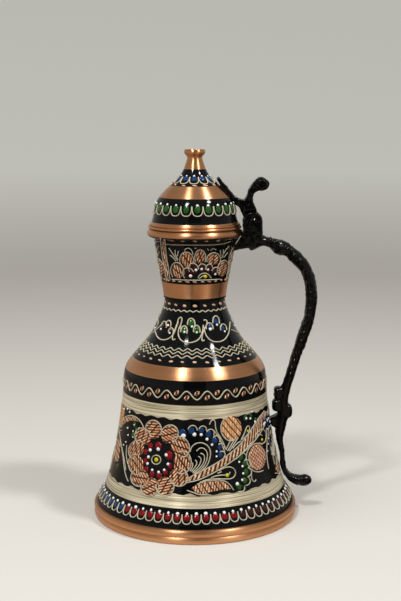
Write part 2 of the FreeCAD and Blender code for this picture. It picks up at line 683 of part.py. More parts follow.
strap_heights = [dome_foot + (crown_height - dome_foot) * share for share in STRAP_SPAN_SHARES]
strap_low = (wall_at(dome_outline, strap_heights[0])[0], strap_heights[0])
strap_high = (wall_at(dome_outline, strap_heights[1])[0], strap_heights[1])
strap_run = math.hypot(strap_high[0] - strap_low[0], strap_high[1] - strap_low[1])
along = ((strap_high[0] - strap_low[0]) / strap_run, (strap_high[1] - strap_low[1]) / strap_run)


def on_strap(distance, rise):
    """A point at a distance past the strap's upper seat, raised square to the strap."""
    return (strap_high[0] + along[0] * distance + along[1] * rise,
            strap_high[1] + along[1] * distance - along[0] * rise)


strap_points = [on_strap(-strap_run, -sheet.strap_thickness / 2), on_strap(0, -sheet.strap_thickness / 2)]
strap_points += [on_strap(sheet.strap_overhang, sheet.strap_thickness * share) for share in STRAP_TIP_SHARES]
strap_points.append(on_strap(-strap_run * STRAP_TOP_SHARE, sheet.strap_thickness))
lever_top = [on_lever(*share) for share in LEVER_TOP_SHARES]
lever_under = [on_lever(*share) for share in LEVER_UNDER_SHARES]

lever = doc.addObject("PartDesign::Body", "lever")
lever_side = sketch_in(lever, "XZ_Plane", "lever_side")
for edge in chain(strap_points + lever_top[:1]) + [through(lever_top)] + chain(
        lever_top[-1:] + lever_under + strap_points[:1]):
    lever_side.addGeometry(edge, False)
lever_plate = lever.newObject("PartDesign::Pad", "lever_plate")
lever_plate.Profile = lever_side
lever_plate.Midplane = True
lever_plate.setExpression("Length", "sizes.strap_width")
thumb_centre = on_lever(*THUMB_SHARES)
thumb_roll = spun("thumb_roll", chain([(sheet.thumb_radius * out, sheet.thumb_width / 2 * side)
                                       for out, side in THUMB_ROLL_SHARES + THUMB_ROLL_SHARES[:1]]))
thumb_roll.Placement = Placement(Vector(thumb_centre[0], 0, thumb_centre[1]), along_pin)
swing_room = cylinder("swing_room", "sizes.ear_radius + sizes.lever_swing_gap", "2 * sizes.fork_width",
                      pin_start)
lever_above = cut("lever_above", lever, swing_room)

knuckle = doc.addObject("PartDesign::Body", "knuckle")
knuckle_side = sketch_in(knuckle, "XZ_Plane", "knuckle_side")
for edge in [bow(pivot, sheet.tongue_radius, 180, 360)] + chain(
        [(pivot[0] + sheet.tongue_radius, pivot[1]), lever_top[-2], lever_top[1], lever_under[1],
         (pivot[0] - sheet.tongue_radius, pivot[1])]):
    knuckle_side.addGeometry(edge, False)
knuckle_block = knuckle.newObject("PartDesign::Pad", "knuckle_block")
knuckle_block.Profile = knuckle_side
knuckle_block.Midplane = True
knuckle_block.setExpression("Length", "sizes.tongue_width")

lid_skin = spun("lid_skin", solid_edges(outset(dome_outline, sheet.seat_gap)))
lid_skin.Placement = SEAM_AWAY
strap_square = Rotation(Vector(0, 0, 1), Vector(along[1], 0, -along[0]))
lever_seats = []
lever_falls = []
lever_leans = []
for share in STRAP_RIVET_SHARES:
    across, up = on_strap(strap_run * share, 0)
    dome_radius, dome_tilt = wall_at(dome_outline, up)
    lever_seats.append(Placement(Vector(across, 0, up), strap_square))
    lever_falls.append((across - dome_radius) * math.cos(dome_tilt))
    lever_leans.append(abs(dome_tilt - math.atan2(-along[0], along[1])))
lever_drills = [drill(f"lever_hole_{index}", seat, "lever_rivet_radius")
                for index, seat in enumerate(lever_seats)]
lever_bore = cylinder("lever_bore", "sizes.pin_radius + sizes.pin_running_gap", "2 * sizes.fork_width",
                      pin_start)
lever_fitted = cut("lever_fitted", fuse("lever_casting", [lever_above, knuckle, thumb_roll]), lid_skin)
lid_lever = cut("lid_lever", lever_fitted, group("lever_holes", [lever_bore] + lever_drills))
lid_dome = cut("lid_dome", cap, group("dome_holes", lever_drills))

lever_burr_radius = sheet.lever_rivet_head_radius + sheet.burr_margin
lever_rivets = []
lever_burrs = []
for index, (seat, fall, lean) in enumerate(zip(lever_seats, lever_falls, lever_leans)):
    drop = fall + drop_inside(sheet.lid_wall, seat.Base.x, lever_burr_radius, lean)
    grip = sheet.strap_thickness + drop + sheet.burr_thickness + 2 * sheet.seat_gap
    item = rivet(f"lever_rivet_{index}", sheet.lever_rivet_radius, sheet.lever_rivet_head_radius,
                 sheet.lever_rivet_head_rise, grip)
    item.Placement = seat * raised(sheet.strap_thickness + sheet.seat_gap)
    lever_rivets.append(item)
    lever_burrs.append(burr(f"lever_burr_{index}", seat, drop, "lever_rivet_radius",
                            "lever_rivet_head_radius"))
lever_rivets = group("lever_rivets", lever_rivets)
lever_burrs = group("lever_burrs", lever_burrs)

# Check everything, then write one file for each piece
NODES = [body_shell, base_plate, foot_band, neck_collar, rim_wire, handle, handle_neck_rivets,
         handle_neck_burrs, handle_foot_rivet, handle_foot_burr, hinge_pin, lid_dome, lid_collar, finial,
         finial_washer, finial_nut, lid_lever, lever_rivets, lever_burrs]
doc.recompute()
for item in doc.Objects:
    if "Invalid" in item.State or "Error" in item.State:
        raise RuntimeError(f"{item.Label} failed: {item.State}")
for node in NODES:
    if node.Shape.isNull() or not node.Shape.isValid():
        raise RuntimeError(f"{node.Label} has no valid shape")
    node.Shape.exportStep(f"parts/{node.Label}.step")
    box = node.Shape.BoundBox
    print(f"{node.Label}: {len(node.Shape.Solids)} solid, {node.Shape.Volume:.0f} mm3, "
          f"X {box.XMin:.1f} to {box.XMax:.1f}, Y {box.YMin:.1f} to {box.YMax:.1f}, "
          f"Z {box.ZMin:.1f} to {box.ZMax:.1f}")
print(f"hinge axis at X {pivot[0]:.2f}, Z {pivot[1]:.2f}, mouth radius {mouth_radius:.2f}")
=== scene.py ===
# %% [markdown]
# The jug is made by four crafts: the coppersmith spins the bell, neck and lid, the founder casts the
# handle, the lacquerer blackens the sheet and leaves bands bare, and the painter adds the ornament.
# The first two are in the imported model, which this script loads as a fixed frame. The other two
# are made here, on top of it.

# %% The frame
import math
import random
import bmesh
import bpy
import numpy as np
from mathutils import Matrix, Vector, noise
from mathutils.bvhtree import BVHTree


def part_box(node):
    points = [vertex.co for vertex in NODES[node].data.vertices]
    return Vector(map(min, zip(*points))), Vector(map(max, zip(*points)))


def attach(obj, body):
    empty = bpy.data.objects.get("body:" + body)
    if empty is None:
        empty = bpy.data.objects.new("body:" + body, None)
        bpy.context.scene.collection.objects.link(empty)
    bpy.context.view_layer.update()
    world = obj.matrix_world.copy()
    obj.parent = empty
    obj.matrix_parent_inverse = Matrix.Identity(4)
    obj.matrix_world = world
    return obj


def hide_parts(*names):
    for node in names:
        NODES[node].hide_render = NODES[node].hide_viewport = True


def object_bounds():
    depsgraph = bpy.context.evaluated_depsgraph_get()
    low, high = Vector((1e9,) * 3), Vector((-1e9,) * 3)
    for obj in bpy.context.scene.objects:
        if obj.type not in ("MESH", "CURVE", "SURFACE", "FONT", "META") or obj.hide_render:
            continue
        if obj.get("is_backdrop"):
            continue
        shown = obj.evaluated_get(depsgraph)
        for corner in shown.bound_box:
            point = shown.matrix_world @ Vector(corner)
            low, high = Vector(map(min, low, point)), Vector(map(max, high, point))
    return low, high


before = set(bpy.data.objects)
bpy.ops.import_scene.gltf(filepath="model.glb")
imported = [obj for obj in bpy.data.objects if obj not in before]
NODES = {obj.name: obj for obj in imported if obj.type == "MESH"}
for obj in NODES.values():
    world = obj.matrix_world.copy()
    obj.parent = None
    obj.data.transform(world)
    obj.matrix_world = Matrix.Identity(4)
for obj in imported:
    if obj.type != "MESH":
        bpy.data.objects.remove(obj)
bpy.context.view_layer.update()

MM = 0.001

# %% [markdown]
# The camera stands where the photographer stood, a little above the lid and 83 cm away. Its lens was
# found from the ellipses of the rings: the nearer a ring is to eye level, the flatter it looks.

# %% The camera
EYE = Vector((4.0, -829.3, 290.0)) * MM
LOOK_DOWN = math.radians(9.32)
LENS_MM = 71.16
FILM_MM = 36.0
PICTURE = (401, 601)

camera = bpy.data.objects.new("camera", bpy.data.cameras.new("camera"))
camera.data.lens = LENS_MM
camera.data.sensor_width = FILM_MM
camera.data.clip_start = 0.01
camera.location = EYE
camera.rotation_euler = (math.pi / 2 - LOOK_DOWN, 0, 0)
bpy.context.scene.collection.objects.link(camera)
bpy.context.scene.camera = camera
bpy.context.scene.view_settings.view_transform = "Standard"
print("camera at", tuple(round(c, 3) for c in camera.location))

# %% [markdown]
# Every colour below is written as it looks on a screen, in sRGB hex. Blender's nodes add and mix
# light, so one function turns the hex value to linear light.

# %% Colours and nodes
MATH = "ShaderNodeMath"
MIX = "ShaderNodeMix"
RANGE = "ShaderNodeMapRange"
NOISE = "ShaderNodeTexNoise"


def linear(hex_colour):
    parts = [int(hex_colour[i:i + 2], 16) / 255 for i in (1, 3, 5)]
    lit = [c / 12.92 if c <= 0.04045 else ((c + 0.055) / 1.055) ** 2.4 for c in parts]
    return (*lit, 1.0)


def feed(tree, node, inputs):
    for name, value in inputs.items():
        if isinstance(value, bpy.types.NodeSocket):
            tree.links.new(value, node.inputs[name])
        else:
            node.inputs[name].default_value = value


def add(tree, kind, inputs=None, **settings):
    node = tree.nodes.new(kind)
    for name, value in settings.items():
        setattr(node, name, value)
    feed(tree, node, inputs or {})
    return node


def finish_named(name):
    made = bpy.data.materials.new(name)
    made.use_nodes = True
    shader = made.node_tree.nodes["Principled BSDF"]
    place = add(made.node_tree, "ShaderNodeTexCoord").outputs["Object"]
    return made, made.node_tree, shader, place


BARE_COPPER = "#DA9C6C"
PALE_COPPER = "#E8B48A"
DULL_COPPER = "#C88C60"
SHADED_COPPER = "#8E4C2C"
BLACK = "#08090A"
CREAM_AND_HIGHLIGHT = "#EADFC0"
THIN_CREAM = "#94876A"
LINE_CREAM = "#D2C8AE"
RED = "#98101A"
BLUE = "#1A4478"
GREEN = "#2E6424"
YELLOW = "#D8CE22"
MAROON = "#431418"
WHITE = "#DAD8D2"
TIN = "#BFC1BE"
print("black lacquer in linear light:", [round(c, 4) for c in linear(BLACK)])

# %% [markdown]
# Spun copper carries the marks of the lathe: fine rings that run round the jug. They stretch each
# reflection up and down, which is what makes the tall soft streaks in the bare bands. So the shader is
# anisotropic round the Z axis, and a noise squeezed along Z draws the rings.

# %% Lathe rings and bare copper
RING_SPACING = 0.9 * MM
RELIEF = 0.2 * MM


def lathe_rings(tree, place):
    squeezed = add(tree, "ShaderNodeMapping", {"Vector": place, "Scale": (8, 8, 1 / RING_SPACING)})
    return add(tree, NOISE, {"Vector": squeezed.outputs[0], "Scale": 1.0, "Detail": 3.0}).outputs[0]


def copper_colour(tree, place, rings):
    stains = add(tree, NOISE, {"Vector": place, "Scale": 38.0, "Detail": 4.0}).outputs[0]
    toned = add(tree, MIX, {0: stains, 6: linear(BARE_COPPER), 7: linear(PALE_COPPER)}, data_type="RGBA")
    ringed = add(tree, MIX, {0: rings, 6: toned.outputs[2], 7: linear(DULL_COPPER)}, data_type="RGBA")
    return ringed.outputs[2]


def turned_on_a_lathe(tree, shader, relief, strength):
    bump = add(tree, "ShaderNodeBump", {"Height": relief, "Strength": strength, "Distance": RELIEF})
    tangent = add(tree, "ShaderNodeTangent", direction_type="RADIAL", axis="Z")
    feed(tree, shader, {"Normal": bump.outputs[0], "Tangent": tangent.outputs[0], "Anisotropic": 0.9,
                        "Anisotropic Rotation": 0.25})


def spun_copper():
    made, tree, shader, place = finish_named("spun_bare_copper")
    rings = lathe_rings(tree, place)
    rough = add(tree, RANGE, {"Value": rings, "To Min": 0.3, "To Max": 0.42}).outputs[0]
    feed(tree, shader, {"Base Color": copper_colour(tree, place, rings), "Roughness": rough, "Metallic": 1.0})
    turned_on_a_lathe(tree, shader, rings, 0.12)
    return made


COPPER = spun_copper()
print("made", COPPER.name)

# %% [markdown]
# The lacquered sheet is one material, because on the jug it is one sheet: the lacquerer turns it on a
# wheel and holds a brush or a scraper against it, so every border between black, bare copper and
# cream paint is a ring at one height. The material reads the height of each point and picks the
# finish. The cream is put on with a coarse brush, so the outer edge of each cream band waves a little
# and its bristles leave darker rings; the light rings between them are a painted highlight. The inside
# is tinned, and it is told from the outside by which way the surface faces.

# %% Lacquered sheet with its bands
BAND_EDGE_MM = 0.25
COPPER_BANDS_MM = [(0.0, 9.9), (106.9, 114.9), (158.4, 168.6), (201.2, 210.2), (227.4, 235.2)]
CREAM_BANDS_MM = [(22.6, 31.2, 0.0, 1.0), (81.0, 90.4, 0.9, 0.0)]
CREAM_WAVES = 34.0
WAVE_SHARE = 0.5
WANDER_SPREAD = 4.0
BRISTLE_AND_SHEEN_MARK = 0.6 * MM
GLOSS_ROUGHNESS = 0.09
METAL_ROUGHNESS = 0.27
CREAM_ROUGHNESS = 0.22
CREAM_METAL = 0.35
LEAST_RELIEF = 0.05
INWARDS = -0.2 * MM


def ring_between(tree, height, low, high, wave=0.0, low_wave=0.0, high_wave=0.0):
    low_edge = add(tree, MATH, {0: wave, 1: low_wave, 2: low}, operation="MULTIPLY_ADD").outputs[0]
    high_edge = add(tree, MATH, {0: wave, 1: high_wave, 2: high}, operation="MULTIPLY_ADD").outputs[0]
    over = add(tree, MATH, {0: height, 1: low_edge}, operation="SUBTRACT").outputs[0]
    under = add(tree, MATH, {0: high_edge, 1: height}, operation="SUBTRACT").outputs[0]
    within = add(tree, MATH, {0: over, 1: under}, operation="MINIMUM").outputs[0]
    return add(tree, RANGE, {"Value": within, "From Min": -BAND_EDGE_MM / 2,
                             "From Max": BAND_EDGE_MM / 2}).outputs[0]


def brushed_edge(tree, place, turn):
    swings = add(tree, MATH, {0: turn, 1: CREAM_WAVES}, operation="MULTIPLY").outputs[0]
    wave = add(tree, MATH, {0: swings}, operation="SINE").outputs[0]
    flat = add(tree, "ShaderNodeMapping", {"Vector": place, "Scale": (90, 90, 0)}).outputs[0]
    wander = add(tree, NOISE, {"Vector": flat, "Scale": 1.0, "Detail": 2.0}).outputs[0]
    wander = add(tree, MATH, {0: wander, 1: WANDER_SPREAD, 2: -WANDER_SPREAD / 2}, operation="MULTIPLY_ADD")
    edge = add(tree, MATH, {0: wave, 1: WAVE_SHARE, 2: wander.outputs[0]}, operation="MULTIPLY_ADD")
    return edge.outputs[0]


# The light end of these streaks is a painted highlight, lighter than the cream paint; the dark end is brush
# marks
def brushed_cream_and_highlights(tree, place):
    drawn_out = add(tree, "ShaderNodeMapping", {"Vector": place, "Scale": (22, 22, 1 / BRISTLE_AND_SHEEN_MARK)})
    bristles_and_sheen = add(tree, NOISE, {"Vector": drawn_out.outputs[0], "Scale": 1.0, "Detail": 3.0}).outputs[0]
    bristles_and_sheen = add(tree, RANGE, {"Value": bristles_and_sheen, "From Min": 0.36, "From Max": 0.62}).outputs[0]
    return add(tree, MIX, {0: bristles_and_sheen, 6: linear(THIN_CREAM), 7: linear(CREAM_AND_HIGHLIGHT)}, data_type="RGBA").outputs[2]


def lacquered_sheet():
    made, tree, shader, place = finish_named("black_lacquer_over_spun_copper")
    x, y, z = add(tree, "ShaderNodeSeparateXYZ", {0: place}).outputs
    height = add(tree, MATH, {0: z, 1: MM}, operation="DIVIDE").outputs[0]
    turn = add(tree, MATH, {0: x, 1: y}, operation="ARCTAN2").outputs[0]
    wave = brushed_edge(tree, place, turn)
    bare, cream = 0.0, 0.0
    for low, high in COPPER_BANDS_MM:
        ring = ring_between(tree, height, low, high)
        bare = add(tree, MATH, {0: bare, 1: ring}, operation="MAXIMUM").outputs[0]
    for low, high, low_wave, high_wave in CREAM_BANDS_MM:
        ring = ring_between(tree, height, low, high, wave, low_wave, high_wave)
        cream = add(tree, MATH, {0: cream, 1: ring}, operation="MAXIMUM").outputs[0]
    rings = lathe_rings(tree, place)
    copper = copper_colour(tree, place, rings)
    streaks = brushed_cream_and_highlights(tree, place)
    painted = add(tree, MIX, {0: cream, 6: linear(BLACK), 7: streaks}, data_type="RGBA").outputs[2]
    outside = add(tree, MIX, {0: bare, 6: painted, 7: copper}, data_type="RGBA").outputs[2]
    normal = add(tree, "ShaderNodeNewGeometry").outputs["Normal"]
    outwards = add(tree, "ShaderNodeCombineXYZ", {0: x, 1: y}).outputs[0]
    facing = add(tree, "ShaderNodeVectorMath", {0: normal, 1: outwards}, operation="DOT_PRODUCT")
    inside = add(tree, MATH, {0: facing.outputs["Value"], 1: INWARDS}, operation="LESS_THAN").outputs[0]
    colour = add(tree, MIX, {0: inside, 6: outside, 7: linear(TIN)}, data_type="RGBA").outputs[2]
    metal = add(tree, MATH, {0: bare, 1: inside}, operation="MAXIMUM").outputs[0]
    cream_metal = add(tree, MATH, {0: cream, 1: CREAM_METAL}, operation="MULTIPLY").outputs[0]
    metal = add(tree, MATH, {0: metal, 1: cream_metal}, operation="MAXIMUM").outputs[0]
    rough = add(tree, MATH, {0: metal, 1: METAL_ROUGHNESS, 2: GLOSS_ROUGHNESS}, operation="MULTIPLY_ADD")
    rough = add(tree, MATH, {0: cream, 1: CREAM_ROUGHNESS, 2: rough.outputs[0]}, operation="MULTIPLY_ADD")
    marked = add(tree, MATH, {0: metal, 1: cream}, operation="MAXIMUM").outputs[0]
    marked = add(tree, MATH, {0: marked, 1: LEAST_RELIEF}, operation="ADD").outputs[0]
    relief = add(tree, MATH, {0: rings, 1: marked}, operation="MULTIPLY").outputs[0]
    feed(tree, shader, {"Base Color": colour, "Metallic": metal, "Roughness": rough.outputs[0],
                        "Specular IOR Level": 0.16})
    turned_on_a_lathe(tree, shader, relief, 0.15)
    return made


LACQUER = lacquered_sheet()
print("bare bands:", len(COPPER_BANDS_MM), "cream bands:", len(CREAM_BANDS_MM))

# %% [markdown]
# The handle and the lid's lever are sand cast and dipped in black lacquer. The skin of a casting has a
# fine grain that the lacquer only half fills, so it is glossy with small dull spots. The washers are cut
# from copper and hammered flat, and their dents are the cells of a Voronoi pattern.

# %% Black casting, fixings and wire
def black_casting():
    made, tree, shader, place = finish_named("black_lacquer_on_casting")
    grain = add(tree, NOISE, {"Vector": place, "Scale": 1 / (1.2 * MM), "Detail": 2.0}).outputs[0]
    blacks = {0: grain, 6: linear("#030404"), 7: linear("#0B0A0A")}
    colour = add(tree, MIX, blacks, data_type="RGBA").outputs[2]
    rough = add(tree, RANGE, {"Value": grain, "To Min": 0.08, "To Max": 0.22}).outputs[0]
    fine = add(tree, "ShaderNodeBump", {"Height": grain, "Strength": 0.12, "Distance": RELIEF}).outputs[0]
    feed(tree, shader, {"Base Color": colour, "Roughness": rough, "Normal": fine, "Specular IOR Level": 0.2})
    return made


def hammered_metal(name, light, dark, grain_mm):
    made, tree, shader, place = finish_named(name)
    dents = add(tree, "ShaderNodeTexVoronoi", {"Vector": place, "Scale": 1 / (grain_mm * MM)},
                feature="SMOOTH_F1").outputs[0]
    colour = add(tree, MIX, {0: dents, 6: linear(light), 7: linear(dark)}, data_type="RGBA").outputs[2]
    bump = add(tree, "ShaderNodeBump", {"Height": dents, "Strength": 0.3, "Distance": 0.3 * MM}).outputs[0]
    feed(tree, shader, {"Base Color": colour, "Normal": bump, "Metallic": 1.0, "Roughness": 0.36})
    return made


CASTING = black_casting()
RIVET_COPPER = hammered_metal("hammered_rivet_copper", BARE_COPPER, SHADED_COPPER, 1.5)
WIRE = hammered_metal("drawn_iron_wire", "#8A8883", "#5E5B57", 0.8)
FINISHES = {
    LACQUER: ("body_shell", "neck_collar", "lid_dome"),
    COPPER: ("base_plate", "foot_band", "lid_collar", "finial"),
    CASTING: ("handle", "lid_lever", "hinge_pin", "handle_neck_rivets", "handle_foot_rivet", "lever_rivets"),
    RIVET_COPPER: ("handle_neck_burrs", "handle_foot_burr", "finial_washer", "finial_nut", "lever_burrs"),
    WIRE: ("rim_wire",),
}
for finish, names in FINISHES.items():
    for name in names:
        NODES[name].data.materials.clear()
        NODES[name].data.materials.append(finish)
print("nodes with a finish:", sum(len(names) for names in FINISHES.values()), "of", len(NODES))

# %% [markdown]
# The handle and the lever are filed by eye after casting: no face is flat and no edge is sharp. The CAD
# solids are copied, their loose triangles merged, remeshed finely and then pushed in and out by a noise,
# in soft lumps with small beads on them. A row of larger beads follows the outside of the handle. Each is
# a pixel read off the photograph, found on the casting by a ray from the camera, with a twin on the far
# side. The copies stand for the CAD nodes and keep inside their boxes.

# %% The castings
FOCAL_PX = LENS_MM / FILM_MM * PICTURE[1]
LUMP_MM = 7.0
LUMP_RISE_MM = 0.4
BEAD_MM = 2.6
BEAD_RISE_MM = 0.64
BEAD_CUT = 0.1
GRID_MM = 0.6
MERGE_MM = 0.001
SMOOTH_PASSES = 3
HANDLE_BEADS = [(271, 239), (277, 241.5), (282, 247), (288.5, 249), (295, 255), (301, 261), (304.5, 270.5),
                (308, 282), (311, 293), (311, 300), (310, 308.5), (308.5, 316), (305, 324.5), (303.5, 333),
                (301.5, 341), (299.5, 348), (297, 354.5), (294.5, 361.5), (292, 368.5), (290.5, 374.5)]
HANDLE_BEAD_MM = 1.5
HANDLE_BEAD_RISE_MM = 0.95
hand = random.Random(11)


def sight(x, y):
    ray = Vector((x - PICTURE[0] / 2, PICTURE[1] / 2 - y, -FOCAL_PX)).normalized()
    return camera.rotation_euler.to_matrix() @ ray


def raise_beads(shape, pixels):
    tree = BVHTree.FromBMesh(shape)
    spots = [tree.ray_cast(EYE, sight(*pixel))[0] for pixel in pixels]
    spots = [spot for spot in spots if spot is not None]
    spots += [Vector((spot.x, -spot.y, spot.z)) for spot in spots]
    print("beads raised:", len(spots))
    for spot in spots:
        reach = HANDLE_BEAD_MM * MM * hand.uniform(0.8, 1.2)
        for vert in shape.verts:
            if abs(vert.co.z - spot.z) < reach:
                away = (vert.co - spot).length / reach
                vert.co += vert.normal * HANDLE_BEAD_RISE_MM * MM * max(0.0, 1 - away * away)


def remeshed(name, node):
    loose = bmesh.new()
    loose.from_mesh(NODES[node].data)
    bmesh.ops.remove_doubles(loose, verts=loose.verts, dist=MERGE_MM * MM)
    mesh = bpy.data.meshes.new(name)
    loose.to_mesh(mesh)
    loose.free()
    rough = bpy.data.objects.new(name, mesh)
    bpy.context.scene.collection.objects.link(rough)
    grid = rough.modifiers.new("grid", "REMESH")
    grid.mode = "VOXEL"
    grid.voxel_size = GRID_MM * MM
    skin = bpy.data.meshes.new_from_object(rough.evaluated_get(bpy.context.evaluated_depsgraph_get()))
    bpy.data.objects.remove(rough)
    bpy.data.meshes.remove(mesh)
    return skin


def cast_copy(name, node, body, lump_rise, beads=()):
    skin = remeshed(name, node)
    shape = bmesh.new()
    shape.from_mesh(skin)
    for smoothing in range(SMOOTH_PASSES):
        bmesh.ops.smooth_vert(shape, verts=shape.verts, factor=0.5, use_axis_x=True, use_axis_y=True,
                              use_axis_z=True)
    shape.normal_update()
    for vert in shape.verts:
        lump = noise.noise(vert.co / (LUMP_MM * MM))
        bead = max(0.0, noise.noise(vert.co / (BEAD_MM * MM)) - BEAD_CUT)
        vert.co += vert.normal * (lump_rise * lump + BEAD_RISE_MM * bead) * MM
    raise_beads(shape, beads)
    low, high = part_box(node)
    for vert in shape.verts:
        vert.co = Vector(min(max(c, least), most) for c, least, most in zip(vert.co, low, high))
    shape.to_mesh(skin)
    shape.free()
    skin.name = name
    skin.shade_smooth()
    skin.materials.clear()
    skin.materials.append(CASTING)
    piece = bpy.data.objects.new(name, skin)
    bpy.context.scene.collection.objects.link(piece)
    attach(piece, body)
    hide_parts(node)
    print(name, "faces:", len(skin.polygons))


cast_copy("cast_handle", "handle", "root", LUMP_RISE_MM, HANDLE_BEADS)
cast_copy("cast_lever", "lid_lever", "lid", LUMP_RISE_MM / 2)

# %% [markdown]
# The ornament is drawn on a curved wall, so the brush has to find that wall. A tree of the sheet's faces
# answers rays: one cast in from outside gives the wall at a turn and a height, and one cast from the
# camera gives the wall under a pixel of the picture. So what the photograph shows can be read off in
# pixels, and still lies on the jug from every side. Turns start at the front and go towards the handle.

# %% The wall under the brush
FAR = 0.15
BESIDE = (0, 0.09, -0.09, 0.18, -0.18)
FACING_OUT = 0.15


def wall_tree(*names):
    points, faces = [], []
    for name in names:
        first = len(points)
        points += [vert.co.copy() for vert in NODES[name].data.vertices]
        faces += [[first + corner for corner in face.vertices] for face in NODES[name].data.polygons]
    return BVHTree.FromPolygons(points, faces)


WALL = wall_tree("body_shell", "neck_collar", "lid_dome")


def wall_hit(turn, height):
    # The rivet holes are open here, so a ray that falls into one is cast again a little beside it
    for aside in BESIDE:
        out = Vector((math.sin(turn + aside), -math.cos(turn + aside), 0))
        spot, normal = WALL.ray_cast(out * FAR + Vector((0, 0, height * MM)), -out)[:2]
        if spot.dot(out) > 0 and normal.dot(out) > FACING_OUT:
            break
    back = Matrix.Rotation(-aside, 3, "Z")
    return back @ spot, back @ normal


def wall_point(turn, height, lift=0.0):
    spot, normal = wall_hit(turn, height)
    return spot + normal * lift * MM


def seen_at(x, y):
    spot = WALL.ray_cast(EYE, sight(x, y))[0]
    return math.atan2(spot.x, -spot.y), spot.z / MM


print("wall at the waist in mm:", round(wall_hit(0, 160)[0].length / MM, 1), "from the origin")

# %% [markdown]
# Three paints cover all of the ornament. A line is a curve with a round bevel, laid half into the wall
# like a thread of thick enamel. A dab is a drop or a dot: a low dome. A plate is a petal or a leaf: a
# flat outline with a thin edge, cut into strips so that it can bend. Dabs and plates are drawn flat, in
# millimetres, and then wrapped on the wall.

# %% Lines, dabs and plates
LINE_MM = 0.8
LINE_LIFT = 0.1
SUNK = 0.25
STRIP_MM = 2.5
DRAWINGS = {}


def on_jug(name, mesh, body):
    piece = bpy.data.objects.new(name, mesh)
    bpy.context.scene.collection.objects.link(piece)
    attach(piece, body)
    print(name, "faces:", len(mesh.polygons))


def new_lines(name, body, paint, wide=LINE_MM):
    curve = bpy.data.curves.new(name, "CURVE")
    curve.dimensions = "3D"
    curve.bevel_depth = wide / 2 * MM
    curve.bevel_resolution = 1
    curve.resolution_u = 4
    curve.use_fill_caps = True
    curve.materials.append(paint)
    drawing = bpy.data.objects.new(f"{name}_drawing", curve)
    bpy.context.scene.collection.objects.link(drawing)
    DRAWINGS[name] = (drawing, body)
    return curve


def stroke(lines, places, closed=False):
    spline = lines.splines.new("BEZIER")
    spline.bezier_points.add(len(places) - 1)
    spline.use_cyclic_u = closed
    for point, (turn, height) in zip(spline.bezier_points, places):
        point.co = wall_point(turn, height, LINE_LIFT)
        point.handle_left_type = point.handle_right_type = "AUTO"


def reach_and_slope(turn, height):
    centre, normal = wall_hit(turn, height)
    return math.hypot(centre.x, centre.y) / MM, math.hypot(normal.x, normal.y)


def wrap(verts, turn, height):
    reach, steep = reach_and_slope(turn, height)
    for vert in verts:
        vert.co = wall_point(turn + vert.co.x / reach, height + vert.co.y * steep, vert.co.z)


def dab(brush, turn, height, wide, tall, rise, tilt=0.0, taper=0.0):
    made = bmesh.ops.create_uvsphere(brush, u_segments=8, v_segments=4, radius=0.5)["verts"]
    for vert in made:
        vert.co.x *= 1 - taper * vert.co.y
    bmesh.ops.scale(brush, vec=(wide, tall, 2 * rise), verts=made)
    bmesh.ops.rotate(brush, cent=(0, 0, 0), matrix=Matrix.Rotation(tilt, 3, "Z"), verts=made)
    wrap(made, turn, height)


def plate(brush, places, rise=0.2, grain=0.0):
    turn, height = np.mean(places, axis=0)
    reach, steep = reach_and_slope(turn, height)
    tool = bmesh.new()
    ring = [tool.verts.new(((t - turn) * reach, (h - height) / steep, -SUNK)) for t, h in places]
    under = tool.faces.new(ring)
    grown = bmesh.ops.extrude_face_region(tool, geom=[under], use_keep_orig=True)["geom"]
    bmesh.ops.translate(tool, vec=(0, 0, rise * 0.5 + SUNK),
                        verts=[item for item in grown if isinstance(item, bmesh.types.BMVert)])
    top = [item for item in grown if isinstance(item, bmesh.types.BMFace)]
    bmesh.ops.inset_individual(tool, faces=top, thickness=rise, depth=0.0, use_even_offset=True)
    bmesh.ops.translate(tool, vec=(0, 0, rise * 0.5), verts=list({v for face in top for v in face.verts}))
    for axis in ((1, 0, 0), (0, 1, 0)):
        along = [vert.co.dot(Vector(axis)) for vert in tool.verts]
        for step in range(math.ceil(min(along) / STRIP_MM), math.ceil(max(along) / STRIP_MM)):
            bmesh.ops.bisect_plane(tool, geom=tool.verts[:] + tool.edges[:] + tool.faces[:],
                                   plane_co=Vector(axis) * step * STRIP_MM, plane_no=axis)
    bmesh.ops.recalc_face_normals(tool, faces=tool.faces)
    grains = tool.loops.layers.uv.new("grain")
    turned = Matrix.Rotation(grain, 2)
    for face in tool.faces:
        for loop in face.loops:
            loop[grains].uv = turned @ loop.vert.co.xy
    wrap(tool.verts, turn, height)
    scrap = bpy.data.meshes.new("scrap")
    tool.to_mesh(scrap)
    brush.from_mesh(scrap)
    bpy.data.meshes.remove(scrap)
    tool.free()


def put_down(brush, name, body, paint):
    mesh = bpy.data.meshes.new(name)
    brush.to_mesh(mesh)
    brush.free()
    mesh.shade_smooth()
    mesh.materials.append(paint)
    on_jug(name, mesh, body)


print("a line is", LINE_MM, "mm wide, and a plate bends every", STRIP_MM, "mm")

# %% [markdown]
# The paints are thick, glossy enamels that level themselves, so a drop has a soft highlight and a
# slightly deeper colour where the paint is thin. The copper of a leaf is the sheet itself, bared by the
# engraver, who cuts strokes side by side, about 2 mm apart, in rows 2 to 4 mm apart. The grooves are
# dark, the copper has darker worn patches, and the ridges carry a painted highlight. The twisted leaf
# has strokes only, and no rows. Both are wave patterns on the piece's own UV map, in millimetres.

# %% Enamel paints and engraved copper
CUT_MM = 1.8
ROW_MM = 4.2
WAVES_PER_UNIT = 20 / (2 * math.pi)
WEAR_AND_HIGHLIGHT_MM = 1.6
GROOVE = "#22120B"
WORN_COPPER = "#A8643A"
# A painted highlight: the near-white colour laid on the engraved ridges
RIDGE_HIGHLIGHT = "#FFE6C4"


